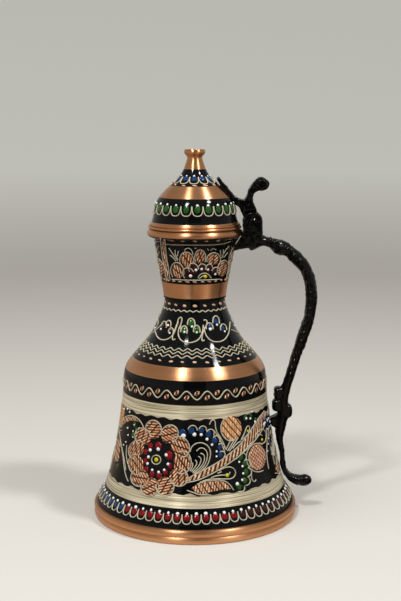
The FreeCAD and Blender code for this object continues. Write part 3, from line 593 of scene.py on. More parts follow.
def enamel(name, light, deep, rough=0.22):
    made, tree, shader, place = finish_named(name)
    pooled = add(tree, NOISE, {"Vector": place, "Scale": 1 / (2.5 * MM), "Detail": 2.0}).outputs[0]
    colour = add(tree, MIX, {0: pooled, 6: linear(deep), 7: linear(light)}, data_type="RGBA").outputs[2]
    bump = add(tree, "ShaderNodeBump", {"Height": pooled, "Strength": 0.3, "Distance": RELIEF}).outputs[0]
    feed(tree, shader, {"Base Color": colour, "Normal": bump, "Roughness": rough, "Specular IOR Level": 0.3})
    return made


def cut_rows(tree, grain, apart_mm, shake, direction):
    spread = math.sqrt(2) if direction == "DIAGONAL" else 1
    scale = spread / (WAVES_PER_UNIT * apart_mm)
    wave = add(tree, "ShaderNodeTexWave", {"Vector": grain, "Scale": scale, "Distortion": shake,
                                           "Detail": 1.0, "Detail Scale": 1.5}, bands_direction=direction)
    return wave.outputs["Fac"]


def engraved_copper(name, bare, cut_mm, row_mm, thin, slant="DIAGONAL"):
    made, tree, shader, place = finish_named(name)
    grain = add(tree, "ShaderNodeUVMap", uv_map="grain").outputs[0]
    strokes = cut_rows(tree, grain, cut_mm, 1.4, slant)
    left = add(tree, RANGE, {"Value": strokes, "From Min": thin, "From Max": thin + 0.3}).outputs[0]
    if row_mm:
        rows = cut_rows(tree, grain, row_mm, 0.8, "Y")
        rows_left = add(tree, RANGE, {"Value": rows, "From Min": 0.02, "From Max": 0.25}).outputs[0]
        left = add(tree, MATH, {0: left, 1: rows_left}, operation="MULTIPLY").outputs[0]
    wear_and_highlight = add(tree, NOISE, {"Vector": place, "Scale": 1 / (WEAR_AND_HIGHLIGHT_MM * MM), "Detail": 3.0}).outputs[0]
    copper = add(tree, MIX, {0: wear_and_highlight, 6: linear(WORN_COPPER), 7: linear(bare)}, data_type="RGBA").outputs[2]
    # Painted highlight: where a stroke's ridge meets a high spot of the noise, the colour turns near white
    ridge_highlight = add(tree, MATH, {0: strokes, 1: wear_and_highlight}, operation="MULTIPLY").outputs[0]
    ridge_highlight = add(tree, RANGE, {"Value": ridge_highlight, "From Min": 0.42, "From Max": 0.6}).outputs[0]
    bright = add(tree, MIX, {0: ridge_highlight, 6: copper, 7: linear(RIDGE_HIGHLIGHT)}, data_type="RGBA").outputs[2]
    colour = add(tree, MIX, {0: left, 6: linear(GROOVE), 7: bright}, data_type="RGBA").outputs[2]
    bump = add(tree, "ShaderNodeBump", {"Height": left, "Strength": 0.5, "Distance": 0.3 * MM}).outputs[0]
    feed(tree, shader, {"Base Color": colour, "Normal": bump, "Metallic": 0.15, "Roughness": 0.36})
    return made


PAINTS = {
    "cream": enamel("cream_line_enamel", LINE_CREAM, "#8E866E", 0.35),
    "white": enamel("white_dot_enamel", "#F2F1EC", WHITE),
    "red": enamel("red_drop_enamel", RED, "#38060C", 0.16),
    "blue": enamel("blue_drop_enamel", BLUE, "#06142E", 0.16),
    "green": enamel("green_drop_enamel", GREEN, "#0A2608", 0.16),
    "yellow": enamel("yellow_dot_enamel", YELLOW, "#A89E14"),
    "maroon": enamel("maroon_drop_enamel", MAROON, "#180608", 0.16),
    "petal": engraved_copper("engraved_petal_copper", "#E89C64", CUT_MM, ROW_MM, 0.15),
    "bud": engraved_copper("engraved_bud_copper", "#FFC07A", 1.9, 3.4, -0.15),
    "crossed": engraved_copper("cross_engraved_copper", "#F6B892", 2.2, 2.2, -0.1, "X"),
    "leaf": engraved_copper("engraved_leaf_copper", "#F4BC8C", CUT_MM, 3.6, 0.05),
    "twist": engraved_copper("twist_engraved_copper", "#F4C296", 2.5, None, 0.25, "X"),
    "dash": enamel("scraped_copper_dash", "#E4BFA0", "#9A6A4C", 0.3),
}
print("paints:", len(PAINTS))

# %% [markdown]
# Round the foot, the lid and the shoulder the ornament is a row of one motif, so a formula sets it out:
# so many times round, at one height. A painter's hand isn't a machine, so each dab is a little off its
# place and size. The random numbers start from a fixed seed and give the same jug every time.

# %% Rows that run round the jug
ROUND = 2 * math.pi
SCALLOP = [(-0.5, 1.0), (-0.47, 0.5), (-0.3, 0.1), (0.0, 0.0), (0.3, 0.1), (0.47, 0.5), (0.5, 1.0)]


def near(value, wander=0.1):
    return value * (1 + hand.uniform(-wander, wander))


def new_brush():
    brush = bmesh.new()
    brush.loops.layers.uv.new("grain")
    return brush


def scallop(lines, turn, low, high, wide):
    stroke(lines, [(turn + wide * side, low + (high - low) * share) for side, share in SCALLOP])


def wave_round(lines, count, height, swing):
    steps = 4 * count
    stroke(lines, [(ROUND * step / steps, height + swing * math.sin(math.pi / 2 * step))
                   for step in range(steps)], closed=True)


def dashes_round(brush, count, height, wide, tall):
    for index in range(count):
        turn = ROUND * index / count + hand.uniform(-0.01, 0.01)
        dab(brush, turn, height + hand.uniform(-0.15, 0.15), near(wide, 0.2), near(tall, 0.2), 0.25,
            hand.uniform(-0.35, 0.15))


def drops_round(brush, turns, height, wide, tall):
    for turn in turns:
        dab(brush, turn, height, near(wide), near(tall), 0.4, hand.uniform(-0.12, 0.12), 0.25)


def dots_round(brush, turns, height, wide):
    for turn in turns:
        dab(brush, turn, height + hand.uniform(-0.2, 0.2), near(wide, 0.25), near(wide), 0.6)


print("points in a scallop:", len(SCALLOP))

# %% [markdown]
# The foot: 65 scallops of cream line, each round a drop of enamel with a white dot at its top. The
# colour changes every thirteen. Heights and widths are in millimetres.

# %% The foot row
FOOT_COUNT = 65
FOOT_RUNS = ["red", "maroon", "green", "red", "blue"]
FOOT_FIRST = math.radians(-46)
FOOT_SCALLOP_MM = (13.5, 19.0)
FOOT_DROP_MM = (17.2, 4.5, 5.4)
FOOT_DOT_MM = (19.6, 2.3)
foot_lines = new_lines("foot_scallops", "root", PAINTS["cream"])
turns = [FOOT_FIRST + ROUND * (index + 0.5) / FOOT_COUNT for index in range(FOOT_COUNT)]
for turn in turns:
    scallop(foot_lines, turn, *FOOT_SCALLOP_MM, ROUND / FOOT_COUNT * 0.98)
run = FOOT_COUNT // len(FOOT_RUNS)
for colour in sorted(set(FOOT_RUNS)):
    brush = new_brush()
    for index, name in enumerate(FOOT_RUNS):
        if name == colour:
            drops_round(brush, turns[index * run:(index + 1) * run], *FOOT_DROP_MM)
    put_down(brush, f"foot_{colour}_drops", "root", PAINTS[colour])
brush = new_brush()
dots_round(brush, turns, *FOOT_DOT_MM)
put_down(brush, "foot_dots", "root", PAINTS["white"])

# %% [markdown]
# The shoulder, from the neck down: a row of copper dashes over a thin wavy line, then the garland,
# three wavy lines, more dashes, the bare band, and the vine with its copper leaves. Two more rows of
# dashes are on the neck. A wave has its count, height and swing, and a row of dashes its count and
# height and the width and height of a dash.

# %% The rows of the shoulder
WAVES_MM = [(33, 149.9, 0.5), (35, 125.3, 0.75), (35, 123.3, 0.75), (35, 121.1, 0.75)]
DASHES_MM = [(19, 153.6, 3.4, 1.9), (31, 118.1, 3.0, 1.5), (22, 199.3, 3.6, 1.5), (29, 170.7, 3.2, 1.4)]
VINE_COUNT = 23
VINE_MM = 97.3
VINE_SWING_MM = 2.8
VINE_FIRST = math.radians(-6)
LEAF_ASIDE_MM = 1.5
LEAF_TURN = 0.036
LEAF_TALL_MM = 1.75
LEAF_SKEW = 0.4
LEAF_CORNERS = 12

shoulder_lines = new_lines("shoulder_waves", "root", PAINTS["cream"])
for wave in WAVES_MM:
    wave_round(shoulder_lines, *wave)
brush = new_brush()
for row in DASHES_MM:
    dashes_round(brush, *row)
put_down(brush, "copper_dashes", "root", PAINTS["dash"])

vine_lines = new_lines("vine_stem", "root", PAINTS["cream"], 0.95)
steps = 8 * VINE_COUNT
stroke(vine_lines, [(VINE_FIRST + ROUND * step / steps,
                     VINE_MM + VINE_SWING_MM * math.cos(math.pi / 4 * step)) for step in range(steps)],
       closed=True)
brush = new_brush()
for index in range(2 * VINE_COUNT):
    turn = VINE_FIRST + ROUND * index / (2 * VINE_COUNT)
    side = 1 if index % 2 else -1
    plate(brush, [(turn + LEAF_TURN * math.cos(a),
                   VINE_MM + side * LEAF_ASIDE_MM + LEAF_TALL_MM * math.sin(a + LEAF_SKEW))
                  for a in np.linspace(0, ROUND, LEAF_CORNERS, endpoint=False)],
          0.25, hand.uniform(0.9, 1.5))
put_down(brush, "vine_leaves", "root", PAINTS["leaf"])

# %% [markdown]
# The lid has the same two rows as the foot, in blue near the knob and in green above the bead. A row has
# its count, the height, width and length of its drops, the height and width of its dots, the foot and
# top of its scallops, and its first turn in degrees.

# %% The rows of the lid
LID_ROWS = {
    "blue": (12, 240.6, 4.2, 5.2, 242.0, 1.5, 237.0, 241.4, -2),
    "green": (23, 220.6, 4.7, 6.4, 223.3, 1.9, 216.1, 222.6, 4),
}
lid_lines = new_lines("lid_scallops", "lid", PAINTS["cream"], 0.75)
dots = new_brush()
for colour, (count, middle, wide, tall, dot, dot_wide, low, high, first) in LID_ROWS.items():
    turns = [math.radians(first) + ROUND * index / count for index in range(count)]
    for turn in turns:
        scallop(lid_lines, turn, low, high, ROUND / count * 0.96)
    brush = new_brush()
    drops_round(brush, turns, middle, wide, tall)
    put_down(brush, f"lid_{colour}_drops", "lid", PAINTS[colour])
    dots_round(dots, turns, dot, dot_wide)
put_down(dots, "lid_dots", "lid", PAINTS["white"])
brush = new_brush()
dashes_round(brush, 13, 236.1, 3.6, 1.3)
put_down(brush, "lid_dashes", "lid", PAINTS["dash"])

# %% [markdown]
# The rest is drawn freely, so its points are pixels read off the photograph, and each helper here sends
# them to the wall. A copy of a motif further round the jug is the same drawing with a spin.

# %% Drawing from pixels
PIXEL_MM = 0.66
WHOLE = (0, 360)


def drawn(pixels, spin):
    return [(turn + spin, height) for turn, height in (seen_at(*pixel) for pixel in pixels)]


def oval(x, y, wide, tall, lean=0.0, steps=20, arc=WHOLE):
    lean = math.radians(lean)
    ring = []
    for angle in np.radians(np.linspace(*arc, steps, endpoint=arc != WHOLE)):
        across = wide / 2 * math.cos(angle)
        down = tall / 2 * math.sin(angle)
        ring.append((x + across * math.cos(lean) - down * math.sin(lean),
                     y + across * math.sin(lean) + down * math.cos(lean)))
    return ring


def draw_lines(lines, drawings, spin):
    for pixels in drawings:
        stroke(lines, drawn(pixels, spin))


def draw_arcs(lines, ovals, steps, arc, spin):
    for sizes in ovals:
        stroke(lines, drawn(oval(*sizes, steps, arc), spin))


def draw_drops(brush, drops, spin):
    for x, y, wide, tall in drops:
        turn, height = seen_at(x, y)
        dab(brush, turn + spin, height, wide * PIXEL_MM, tall * PIXEL_MM, 0.4, 0.0, 0.15)


def draw_dots(brush, dots, spin):
    for x, y, wide in dots:
        turn, height = seen_at(x, y)
        dab(brush, turn + spin, height, wide * PIXEL_MM, wide * PIXEL_MM, 0.6)


print("a pixel at the front of the belly in mm:", PIXEL_MM)

# %% [markdown]
# The garland on the shoulder: cream loops hung from links, with three drops and three dots in each. The
# photograph shows three loops, and they take up a little under half of the way round. A line is a row of
# pixels, an arch is an oval's middle, width, height and lean, and a drop or dot its middle and size.

# %% The garland
LOOPS = [
    [(155, 328), (156, 333.5), (158.5, 338), (163.5, 340), (169, 338.5), (173, 335), (176, 328.5),
     (178.5, 321.5)],
    [(180.5, 325), (178.5, 331), (179, 337), (182.5, 341.3), (188, 342.8), (194, 342), (198.5, 339.5),
     (201.3, 335), (202.7, 330), (203.3, 325)],
    [(204, 327), (205, 332.5), (207.5, 337.5), (211.5, 340.8), (217, 342), (223, 340.5), (227.5, 335.5),
     (229.3, 329), (229.8, 322)],
]
LINKS = [
    [(175.5, 339), (173.3, 340), (172.5, 337.5), (174.5, 331), (177.5, 323), (179, 318.5), (181, 317.5),
     (182, 319.5), (181.3, 323), (180, 329)],
    [(204.5, 340), (202.6, 341), (202, 338), (203.5, 331), (206.5, 325), (207, 322), (205.5, 320),
     (203.5, 320.5)],
]
ARCHES = [(164, 326, 5.5, 9, 10), (168.5, 325, 5, 9, 10), (171, 332, 5, 8, 10), (184, 331.5, 6.5, 11, 5),
          (191.2, 324, 7.5, 11, 0), (196.8, 331, 6.5, 11, -5), (209.5, 328, 7, 10, -8),
          (216, 322, 6.5, 12, -5), (223.5, 329, 6, 10, -12)]
GARLAND_DROPS = {
    "maroon": [(162.5, 326.5, 3.5, 6), (168, 323.5, 3.5, 5), (170.5, 331, 3.5, 6)],
    "green": [(184.2, 330.5, 7, 9), (191.3, 323, 7.5, 9), (196.6, 330.5, 7, 9)],
    "blue": [(210, 327, 6, 7.5), (216, 321.8, 5.5, 8.5), (222.8, 327.8, 5, 7)],
}
GARLAND_DOTS = [(161, 329, 3), (168, 325.3, 3), (169.7, 333, 2.6), (184.5, 332, 3), (192, 326.6, 2.8),
                (196.8, 332.4, 2.6), (210.3, 329, 4), (217, 324.8, 3), (224.8, 331.5, 2.6)]
GARLAND_SPINS = [math.radians(turn) for turn in (0, 142, 236)]
garland_lines = new_lines("garland_loops", "root", PAINTS["cream"], 0.95)
garland_dots = new_brush()
garland = {colour: new_brush() for colour in GARLAND_DROPS}
for spin in GARLAND_SPINS:
    draw_lines(garland_lines, LOOPS + LINKS, spin)
    draw_arcs(garland_lines, ARCHES, 7, (170, 380), spin)
    for colour, drops in GARLAND_DROPS.items():
        draw_drops(garland[colour], drops, spin)
    draw_dots(garland_dots, GARLAND_DOTS, spin)
for colour, brush in garland.items():
    put_down(brush, f"garland_{colour}_drops", "root", PAINTS[colour])
put_down(garland_dots, "garland_dots", "root", PAINTS["white"])

# %% [markdown]
# The neck has three panels between copper strips. In each, five copper petals and five dark ones stand
# round half a flower on the lower line, with a sprig in each upper corner.

# %% The neck panels
NECK_PETALS = [(177.5, 271.5, 10, 15, -12), (187, 260, 12, 15, -18), (200.3, 257, 8.5, 13, 0),
               (213.3, 259.5, 11, 11, 20), (222.3, 269, 9, 15, 12)]
NECK_ARCHES = [(177.5, 271.5, 13, 18, -12), (187, 261, 14, 18, -14), (200.3, 258, 11, 16.5, 0),
               (213.5, 260, 13.5, 14.5, 15), (222.7, 269.5, 11, 18.5, 12)]
NECK_INNER = [(188.5, 274, 11, 13, -35), (193.5, 269, 9.5, 12, -20), (202.3, 268.5, 8, 9, 0),
              (209, 269.3, 7, 10.5, 10), (215.5, 272, 8, 10, 30)]
NECK_LINES = [
    [(165, 244.2), (175, 244.8), (188, 245), (201, 245), (213, 244.8), (224, 243.5), (230.5, 241.3)],
    [(172, 279.2), (180, 279.8), (192, 280.2), (205, 280), (216, 279.4), (227.5, 278)],
    [(198, 278), (200, 274.8), (204, 273.2), (208, 274.3), (211, 278)],
    [(199, 278.8), (202.5, 276.2), (204, 275.6)],
    [(169, 248), (173, 254), (178, 261)],
    [(175.3, 250), (175.5, 254), (178, 259.5)],
    [(178.5, 251), (177.5, 256)],
    [(170, 255), (173, 257.5), (176, 261)],
    [(229, 246), (226, 249.5), (223.5, 253.5)],
    [(220, 250), (220.5, 254), (221, 258)],
    [(223.3, 249.5), (222.3, 258)],
    [(227.5, 252.5), (223.5, 257.5)],
    [(184.5, 250.5), (186.5, 248.5), (189.5, 248.5), (192, 251), (193, 254.5)],
    [(194.5, 248.3), (196.5, 248)],
    [(210.5, 250.3), (213, 248.6), (216, 249.8)],
    [(207, 248.6), (208.8, 250.3)],
]
NECK_EDGES = [
    [(160.5, 238), (162.3, 255), (164.8, 270), (166.5, 281.5)],
    [(164.8, 239), (166.5, 255), (168.7, 268), (170.3, 280)],
]
NECK_STRIP = [(161.8, 241.5), (163.8, 241.5), (165.8, 255), (168.2, 269), (168.8, 280.5), (166.8, 280.5),
              (164.6, 268), (162.9, 254)]
NECK_DOTS = [(190.5, 276, 4), (196, 270, 3.4), (201.6, 269.2, 3), (208, 269.7, 2.6), (215.2, 274.2, 3)]
NECK_HEART = (205.3, 276.6, 4.4)
NECK_SPINS = [math.radians(turn) for turn in (0, 120, 240)]
neck_lines = new_lines("neck_panel_lines", "root", PAINTS["cream"], 0.7)
neck_petals, neck_inner, neck_strips, neck_dots, neck_hearts = [new_brush() for part in range(5)]
for spin in NECK_SPINS:
    draw_lines(neck_lines, NECK_LINES + NECK_EDGES, spin)
    draw_arcs(neck_lines, NECK_ARCHES, 8, (150, 390), spin)
    draw_arcs(neck_lines, NECK_INNER, 7, (170, 370), spin)
    for x, y, wide, tall, lean in NECK_INNER:
        plate(neck_inner, drawn(oval(x, y, wide * 0.8, tall * 0.8, lean), spin), 0.15)
    for index, petal_sizes in enumerate(NECK_PETALS):
        plate(neck_petals, drawn(oval(*petal_sizes), spin), 0.2 + 0.02 * (index % 2), 0.6 + index * 0.35)
    plate(neck_strips, drawn(NECK_STRIP, spin), 0.2, 1.2)
    draw_dots(neck_dots, NECK_DOTS, spin)
    draw_dots(neck_hearts, [NECK_HEART], spin)
put_down(neck_petals, "neck_petals", "root", PAINTS["petal"])
put_down(neck_inner, "neck_inner_petals", "root", PAINTS["maroon"])
put_down(neck_strips, "neck_strips", "root", PAINTS["leaf"])
put_down(neck_dots, "neck_dots", "root", PAINTS["white"])
put_down(neck_hearts, "neck_hearts", "root", PAINTS["yellow"])

# %% [markdown]
# The frieze round the belly is the painter's main work: a flower of eleven copper petals, a long leaf
# that swings up from it, buds, spirals and garlands of drops. It is painted twice, front and back, and
# the gaps at the two sides are filled with the spirals, a round bud, the low leaf and blue drops again.

# %% The frieze: the flower
FLOWER = (156.3, 459.8)
PETALS = [(153.5, 430, 17, 13.5), (169.5, 434.5, 17, 14), (180, 447, 16, 18), (182, 462.5, 16, 19),
          (178.5, 477, 17, 15), (165, 486, 17, 15), (150, 486.5, 17, 15), (140, 477.5, 16, 15),
          (136.3, 464.5, 13.5, 17), (136.5, 449.5, 13, 16), (143, 437, 16, 13)]
RED_DROPS = [(158.3, 446, 8.5, 9), (150.5, 446, 6.5, 7.5), (145.8, 452, 6, 7), (145.3, 461, 5.5, 7),
             (146.2, 469, 6.5, 6.5), (152, 474, 6.5, 7), (159, 475.5, 7, 6.5), (165.3, 472.5, 6, 6),
             (170, 466, 5, 7), (169, 455.5, 8.5, 10)]
FLOWER_DOTS = [(158.3, 449, 4.6), (150.2, 450, 4), (148.4, 457, 3.6), (147.5, 463.7, 3.4), (152.2, 470, 3),
               (158.5, 472.2, 3.2), (164.2, 470, 3), (168, 464.2, 3.4), (166.3, 455, 4)]


def petal(x, y, reach, wide, arc=WHOLE, steps=20):
    lean = math.degrees(math.atan2(y - FLOWER[1], x - FLOWER[0]))
    return oval(x, y, reach, wide, lean, steps, arc)


print("petals:", len(PETALS))

# %% [markdown]
# The leaves and buds, each as its outline, and the cream lines that run between them.

# %% The frieze: leaves, buds and lines
SICKLE = [(185, 482), (190, 477.3), (197, 473.5), (206, 469), (215, 464), (223, 458.7), (231, 452.5),
          (239, 445.5), (246, 437), (252, 428), (258, 419), (264, 411), (266.5, 414), (264, 424),
          (259, 433), (253, 441), (246, 448.5), (238, 455.5), (229, 462), (219, 468.5), (208, 474.5),
          (197, 479.5)]
SICKLE_TOP_EDGE = SICKLE[:12]
SICKLE_LOW_EDGE = [(264.5, 425), (259.5, 434), (253.5, 442), (246.5, 449.5), (238.5, 456.5), (229.5, 463),
                   (219.5, 469.5), (208.5, 475.5), (197.5, 480.3), (186, 482.8)]
LOW_LEAF = [(191, 488.5), (196, 485), (204, 482.3), (214, 481), (222.5, 481.5), (227.5, 485), (231, 489),
            (222, 489.7), (212, 491.7), (201, 494), (195, 492.3)]
CRESCENT = [(121, 427), (122.5, 420), (127, 416.5), (133, 416.5), (138, 419), (141, 423), (136.5, 421),
            (131, 420.5), (126, 422.5)]
SIDE_STRIP = [(117.5, 439), (121, 440), (120, 450), (118.5, 461), (114.5, 461.5), (115.5, 450)]
SPIRAL_LINES = [
    [(209.5, 424.5), (211, 421.3), (213.3, 420), (215, 421.8), (215.3, 426), (216.5, 431), (220, 437),
     (223.3, 443), (226, 450)],
    [(213.5, 430), (217, 435), (220.5, 441), (223, 447.5), (224.5, 452)],
    [(190, 452), (191.5, 447.5), (195, 444.2), (199.5, 442.8), (204.5, 443.8), (208.5, 447), (210.4, 452),
     (209.6, 459), (206.5, 466), (201.5, 471), (196, 474.3)],
    [(196.5, 451), (200, 448.3), (203.8, 448.6), (206.7, 451.8), (207.3, 457), (205, 464), (200.5, 469.8),
     (194.5, 474)],
    [(200.3, 453.3), (203.3, 454.5), (204.5, 458.5), (202.8, 464), (198.8, 469), (193.5, 473.3)],
    [(198.3, 456.3), (200.8, 458.5), (200, 463.5), (196.7, 468.5), (192.5, 472.5)],
    [(195.3, 459.8), (196.8, 462.5), (195, 467), (191.5, 471.5)],
    [(192.5, 462.5), (192.5, 466.5), (190, 471)],
    [(228, 416.5), (223.5, 420), (221, 426), (221.3, 432), (224.5, 437.8), (229.5, 440.8), (235, 440)],
    [(226, 449.5), (229, 443.5), (232, 437.5)],
    [(227.5, 451), (231.5, 444.5), (235, 438.5)],
    [(229.5, 451), (234, 444), (238, 437.5)],
    [(232.5, 448.5), (237, 443.5), (241, 441)],
]
BUD_LINES = [
    [(241, 440), (244, 434), (248.5, 426), (249, 431), (246, 436), (241, 440)],
    [(255, 435.5), (258, 431.5), (262.5, 429.5), (265.5, 433), (265.5, 440), (262.5, 443.5), (258.5, 443)],
    [(256.5, 437), (259, 434.5), (262, 435.5)],
    [(262, 444.5), (256, 443.5), (250.5, 446.5), (247, 452.5), (246.3, 459), (248.3, 465.5), (252.5, 470.3),
     (258, 472), (263, 470.5)],
    [(249.5, 452.5), (248.8, 458), (250, 464), (252.5, 468)],
    [(252.5, 441.5), (247, 447.5), (243.5, 452.5)],
    [(245, 449.8), (240, 455), (236, 459)],
    [(251.3, 470.5), (251.3, 476), (252.3, 480.3), (254.3, 481.6), (256, 479.8)],
]
LOW_LINES = [
    [(200, 482.5), (207, 479.8), (216, 478.8), (226, 479), (232, 478.2), (235.2, 474.5), (234.8, 470.3),
     (231.5, 467.5), (227, 467.2), (222.5, 468.7), (219, 471)],
    [(211, 477.7), (216, 476), (221.5, 475.2), (226, 475.2)],
    [(230, 472), (229.2, 474.3)],
    [(217.5, 473.3), (221.5, 471.8)],
    [(187, 490.5), (193, 492.5), (200, 494.8), (208, 494)],
    [(197, 484.5), (204, 481.5), (214, 480.2), (223, 480.7), (229, 484), (233.5, 490)],
]
END_LINES = [
    [(122, 427), (123, 420.5), (127.5, 416.2), (133.5, 416), (139, 419.5), (142.5, 424.5), (144, 428.5)],
    [(119.5, 430), (121, 442), (123, 455), (124.5, 468), (126.5, 477), (128.5, 481.5)],
    [(122, 447), (124.5, 460), (126, 470)],
    [(127, 445), (126.5, 455), (128, 464)],
    [(266, 428), (266.8, 440), (266.5, 452), (267.3, 462), (268.5, 469)],
    [(270, 447), (272.5, 456), (274.5, 464)],
    [(271.5, 445), (274.5, 454), (276.5, 462)],
]
FRIEZE_LINES = [SICKLE_TOP_EDGE, SICKLE_LOW_EDGE] + SPIRAL_LINES + BUD_LINES + LOW_LINES + END_LINES
ROUND_BUD = (231.5, 428.5, 20.5, 24)
CROSSED_BUD = (257.3, 457.3, 17, 26)
print("lines in the frieze:", len(FRIEZE_LINES))

# %% [markdown]
# The drops, dots and curls of the frieze. The blue row is kept apart, because it comes again at the
# sides. A curl is an arc over a drop.

# %% The frieze: drops, dots and curls
BLUE_ROW = [(182.5, 432.5, 8.5, 7), (191.5, 431, 7, 8), (201.3, 430.3, 6.5, 7), (208.5, 434.3, 6.5, 7.5),
            (214.5, 440.5, 7, 7), (219.8, 447.5, 5, 6.5), (220.5, 455, 5.5, 6.5)]
BLUE_ROW_DOTS = [(183.3, 435.7, 5.6), (194.4, 434.6, 4.4), (201.2, 434.8, 3.4), (207, 439.3, 3.4),
                 (212, 444.8, 2.8), (216.7, 451.5, 2.4), (216.6, 456.5, 2.2)]
BLUE_ROW_CURLS = [(192.5, 431, 9.5, 11, 10, 190, 345), (202.5, 431, 8, 10, 15, 190, 345),
                  (209.8, 434.5, 8, 11, 25, 190, 350), (215.8, 440.5, 8, 10, 35, 190, 350),
                  (220.3, 447.5, 7, 9, 45, 190, 350), (221.2, 455, 7, 8, 55, 190, 350)]
GREEN_ROW_CURLS = [(241.5, 457.5, 9, 9.5, 60, 200, 350), (245.7, 464, 9, 9.5, 75, 200, 350),
                   (246.7, 472.3, 9, 9.5, 90, 200, 350), (245.6, 481, 9, 9, 100, 200, 350),
                   (240.3, 488, 9, 8.5, 130, 200, 350)]
FRIEZE_DROPS = {
    "red": RED_DROPS,
    "blue": BLUE_ROW + [(267.5, 425, 3, 7), (268.3, 434, 3, 8), (268.5, 442.5, 3, 7), (268.2, 450.5, 3, 6)],
    "green": [(134.5, 424.5, 6, 7), (136.5, 429.5, 5, 6), (133, 434.5, 5, 6), (117.5, 466, 5, 7.5),
              (245.5, 418, 5.5, 7), (250.8, 416, 4.5, 7), (255.8, 420.3, 5, 6.5), (240.8, 457, 6.5, 7.5),
              (245, 463.5, 6.5, 7.5), (246, 472, 6.5, 7.5), (245, 480.5, 6.5, 7), (239.5, 487, 7, 6.5),
              (247, 432, 3, 7)],
}
OTHER_DOTS = [(246, 418.3, 3.8), (250.3, 418.5, 2.8), (254.9, 421.6, 2.8), (252, 411.8, 2),
              (239.2, 462, 2.4), (242.5, 466.3, 2.8), (243.2, 473.5, 2.8), (242.3, 480, 3),
              (237.4, 484, 4.2), (134.6, 424.8, 2.4), (139.3, 428, 1.8), (133.2, 431.2, 2),
              (136.3, 432.2, 1.8), (133, 437, 2), (127.7, 428, 2.6), (128.2, 435, 2.4), (126, 442, 2),
              (123.6, 445, 2), (124.5, 409, 2.4), (127.6, 409, 2.6), (129.8, 412, 2.4), (265, 422.5, 2.4),
              (267.2, 429, 2.2), (268.4, 438.5, 2), (268, 444, 2), (267.3, 451, 2)]
FRIEZE_DOTS = FLOWER_DOTS + BLUE_ROW_DOTS + OTHER_DOTS
LOW_HEART = (227.3, 475.3, 4.4)
YELLOW_DOTS = [(156.3, 459.8, 5), (247.5, 431, 3), (262, 439.7, 3.4), LOW_HEART]
print("dots in the frieze:", len(FRIEZE_DOTS))

# %% [markdown]
# Everything is now drawn on the wall, twice for the whole frieze and once at each side for what fills it.

# %% The frieze on the wall
SIDE_SPINS = [math.radians(turn) for turn in (-107, 73)]
frieze_lines = new_lines("frieze_lines", "root", PAINTS["cream"], 0.8)
petals, leaves, twists, round_buds, crossed_buds, dots, hearts = [new_brush() for part in range(7)]
frieze = {colour: new_brush() for colour in FRIEZE_DROPS}


def draw_curls(curls, spin):
    for x, y, wide, tall, lean, start, end in curls:
        stroke(frieze_lines, drawn(oval(x, y, wide, tall, lean, 6, (start, end)), spin))


for spin in (0.0, math.pi):
    for index, (x, y, reach, wide) in enumerate(PETALS):
        grain = math.atan2(FLOWER[1] - y, x - FLOWER[0])
        outline = petal(x, y, reach * 1.08, wide * 1.14)
        plate(petals, drawn(outline, spin), 0.2 + 0.03 * (index % 3), 0.8 - grain)
        stroke(frieze_lines, drawn(petal(x, y, reach * 1.14, wide * 1.2, (-118, 118), 9), spin))
    draw_lines(frieze_lines, FRIEZE_LINES, spin)
    draw_curls(BLUE_ROW_CURLS + GREEN_ROW_CURLS, spin)
    stroke(frieze_lines, drawn(oval(*FLOWER, 9, 9, steps=10), spin), closed=True)
    plate(twists, drawn(SICKLE, spin), 0.2, 0.3)
    plate(leaves, drawn(LOW_LEAF, spin), 0.2, 1.0)
    plate(leaves, drawn(CRESCENT, spin), 0.2, 0.5)
    plate(leaves, drawn(SIDE_STRIP, spin), 0.2, 0.2)
    plate(round_buds, drawn(oval(*ROUND_BUD), spin), 0.28, 0.9)
    plate(crossed_buds, drawn(oval(*CROSSED_BUD), spin), 0.28, 0.78)
    for colour, drops in FRIEZE_DROPS.items():
        draw_drops(frieze[colour], drops, spin)
    draw_dots(dots, FRIEZE_DOTS, spin)
    draw_dots(hearts, YELLOW_DOTS, spin)
for spin in SIDE_SPINS:
    draw_lines(frieze_lines, SPIRAL_LINES + LOW_LINES, spin)
    draw_curls(BLUE_ROW_CURLS, spin)
    plate(leaves, drawn(LOW_LEAF, spin), 0.2, 1.0)
    plate(round_buds, drawn(oval(*ROUND_BUD), spin), 0.28, 0.9)
    draw_drops(frieze["blue"], BLUE_ROW, spin)
    draw_dots(dots, BLUE_ROW_DOTS, spin)
    draw_dots(hearts, [LOW_HEART], spin)
put_down(petals, "frieze_petals", "root", PAINTS["petal"])
put_down(leaves, "frieze_leaves", "root", PAINTS["leaf"])
put_down(twists, "frieze_twisted_leaf", "root", PAINTS["twist"])
put_down(round_buds, "frieze_round_buds", "root", PAINTS["bud"])
put_down(crossed_buds, "frieze_crossed_buds", "root", PAINTS["crossed"])
put_down(dots, "frieze_white_dots", "root", PAINTS["white"])
put_down(hearts, "frieze_yellow_dots", "root", PAINTS["yellow"])
for colour, brush in frieze.items():
    put_down(brush, f"frieze_{colour}_drops", "root", PAINTS[colour])

# %% [markdown]
# The lines were drawn as curves, because a curve takes one point at a time and rounds itself. Now that
# all are drawn, each set becomes a mesh, which is what the other pieces are.

# %% Lines into meshes
graph = bpy.context.evaluated_depsgraph_get()
for name, (drawing, body) in DRAWINGS.items():
    mesh = bpy.data.meshes.new_from_object(drawing.evaluated_get(graph))
    mesh.name = name
    mesh.shade_smooth()
    on_jug(name, mesh, body)
for drawing, body in DRAWINGS.values():
    bpy.data.objects.remove(drawing)

# %% [markdown]
# The stage is a pale floor that sweeps up into a pale wall all round, so no view has a horizon. Polished
# copper and lacquer show what stands round them: two small lamps high up, left and right of the camera,
# draw the bright strokes down the bands, and a black flag behind the camera keeps the front deep. Round
# the foot lie cards in brown and near black, which only reflections see: they darken the bands in
# places. The large lamp overhead only lights what is matt, so it is hidden from reflections.

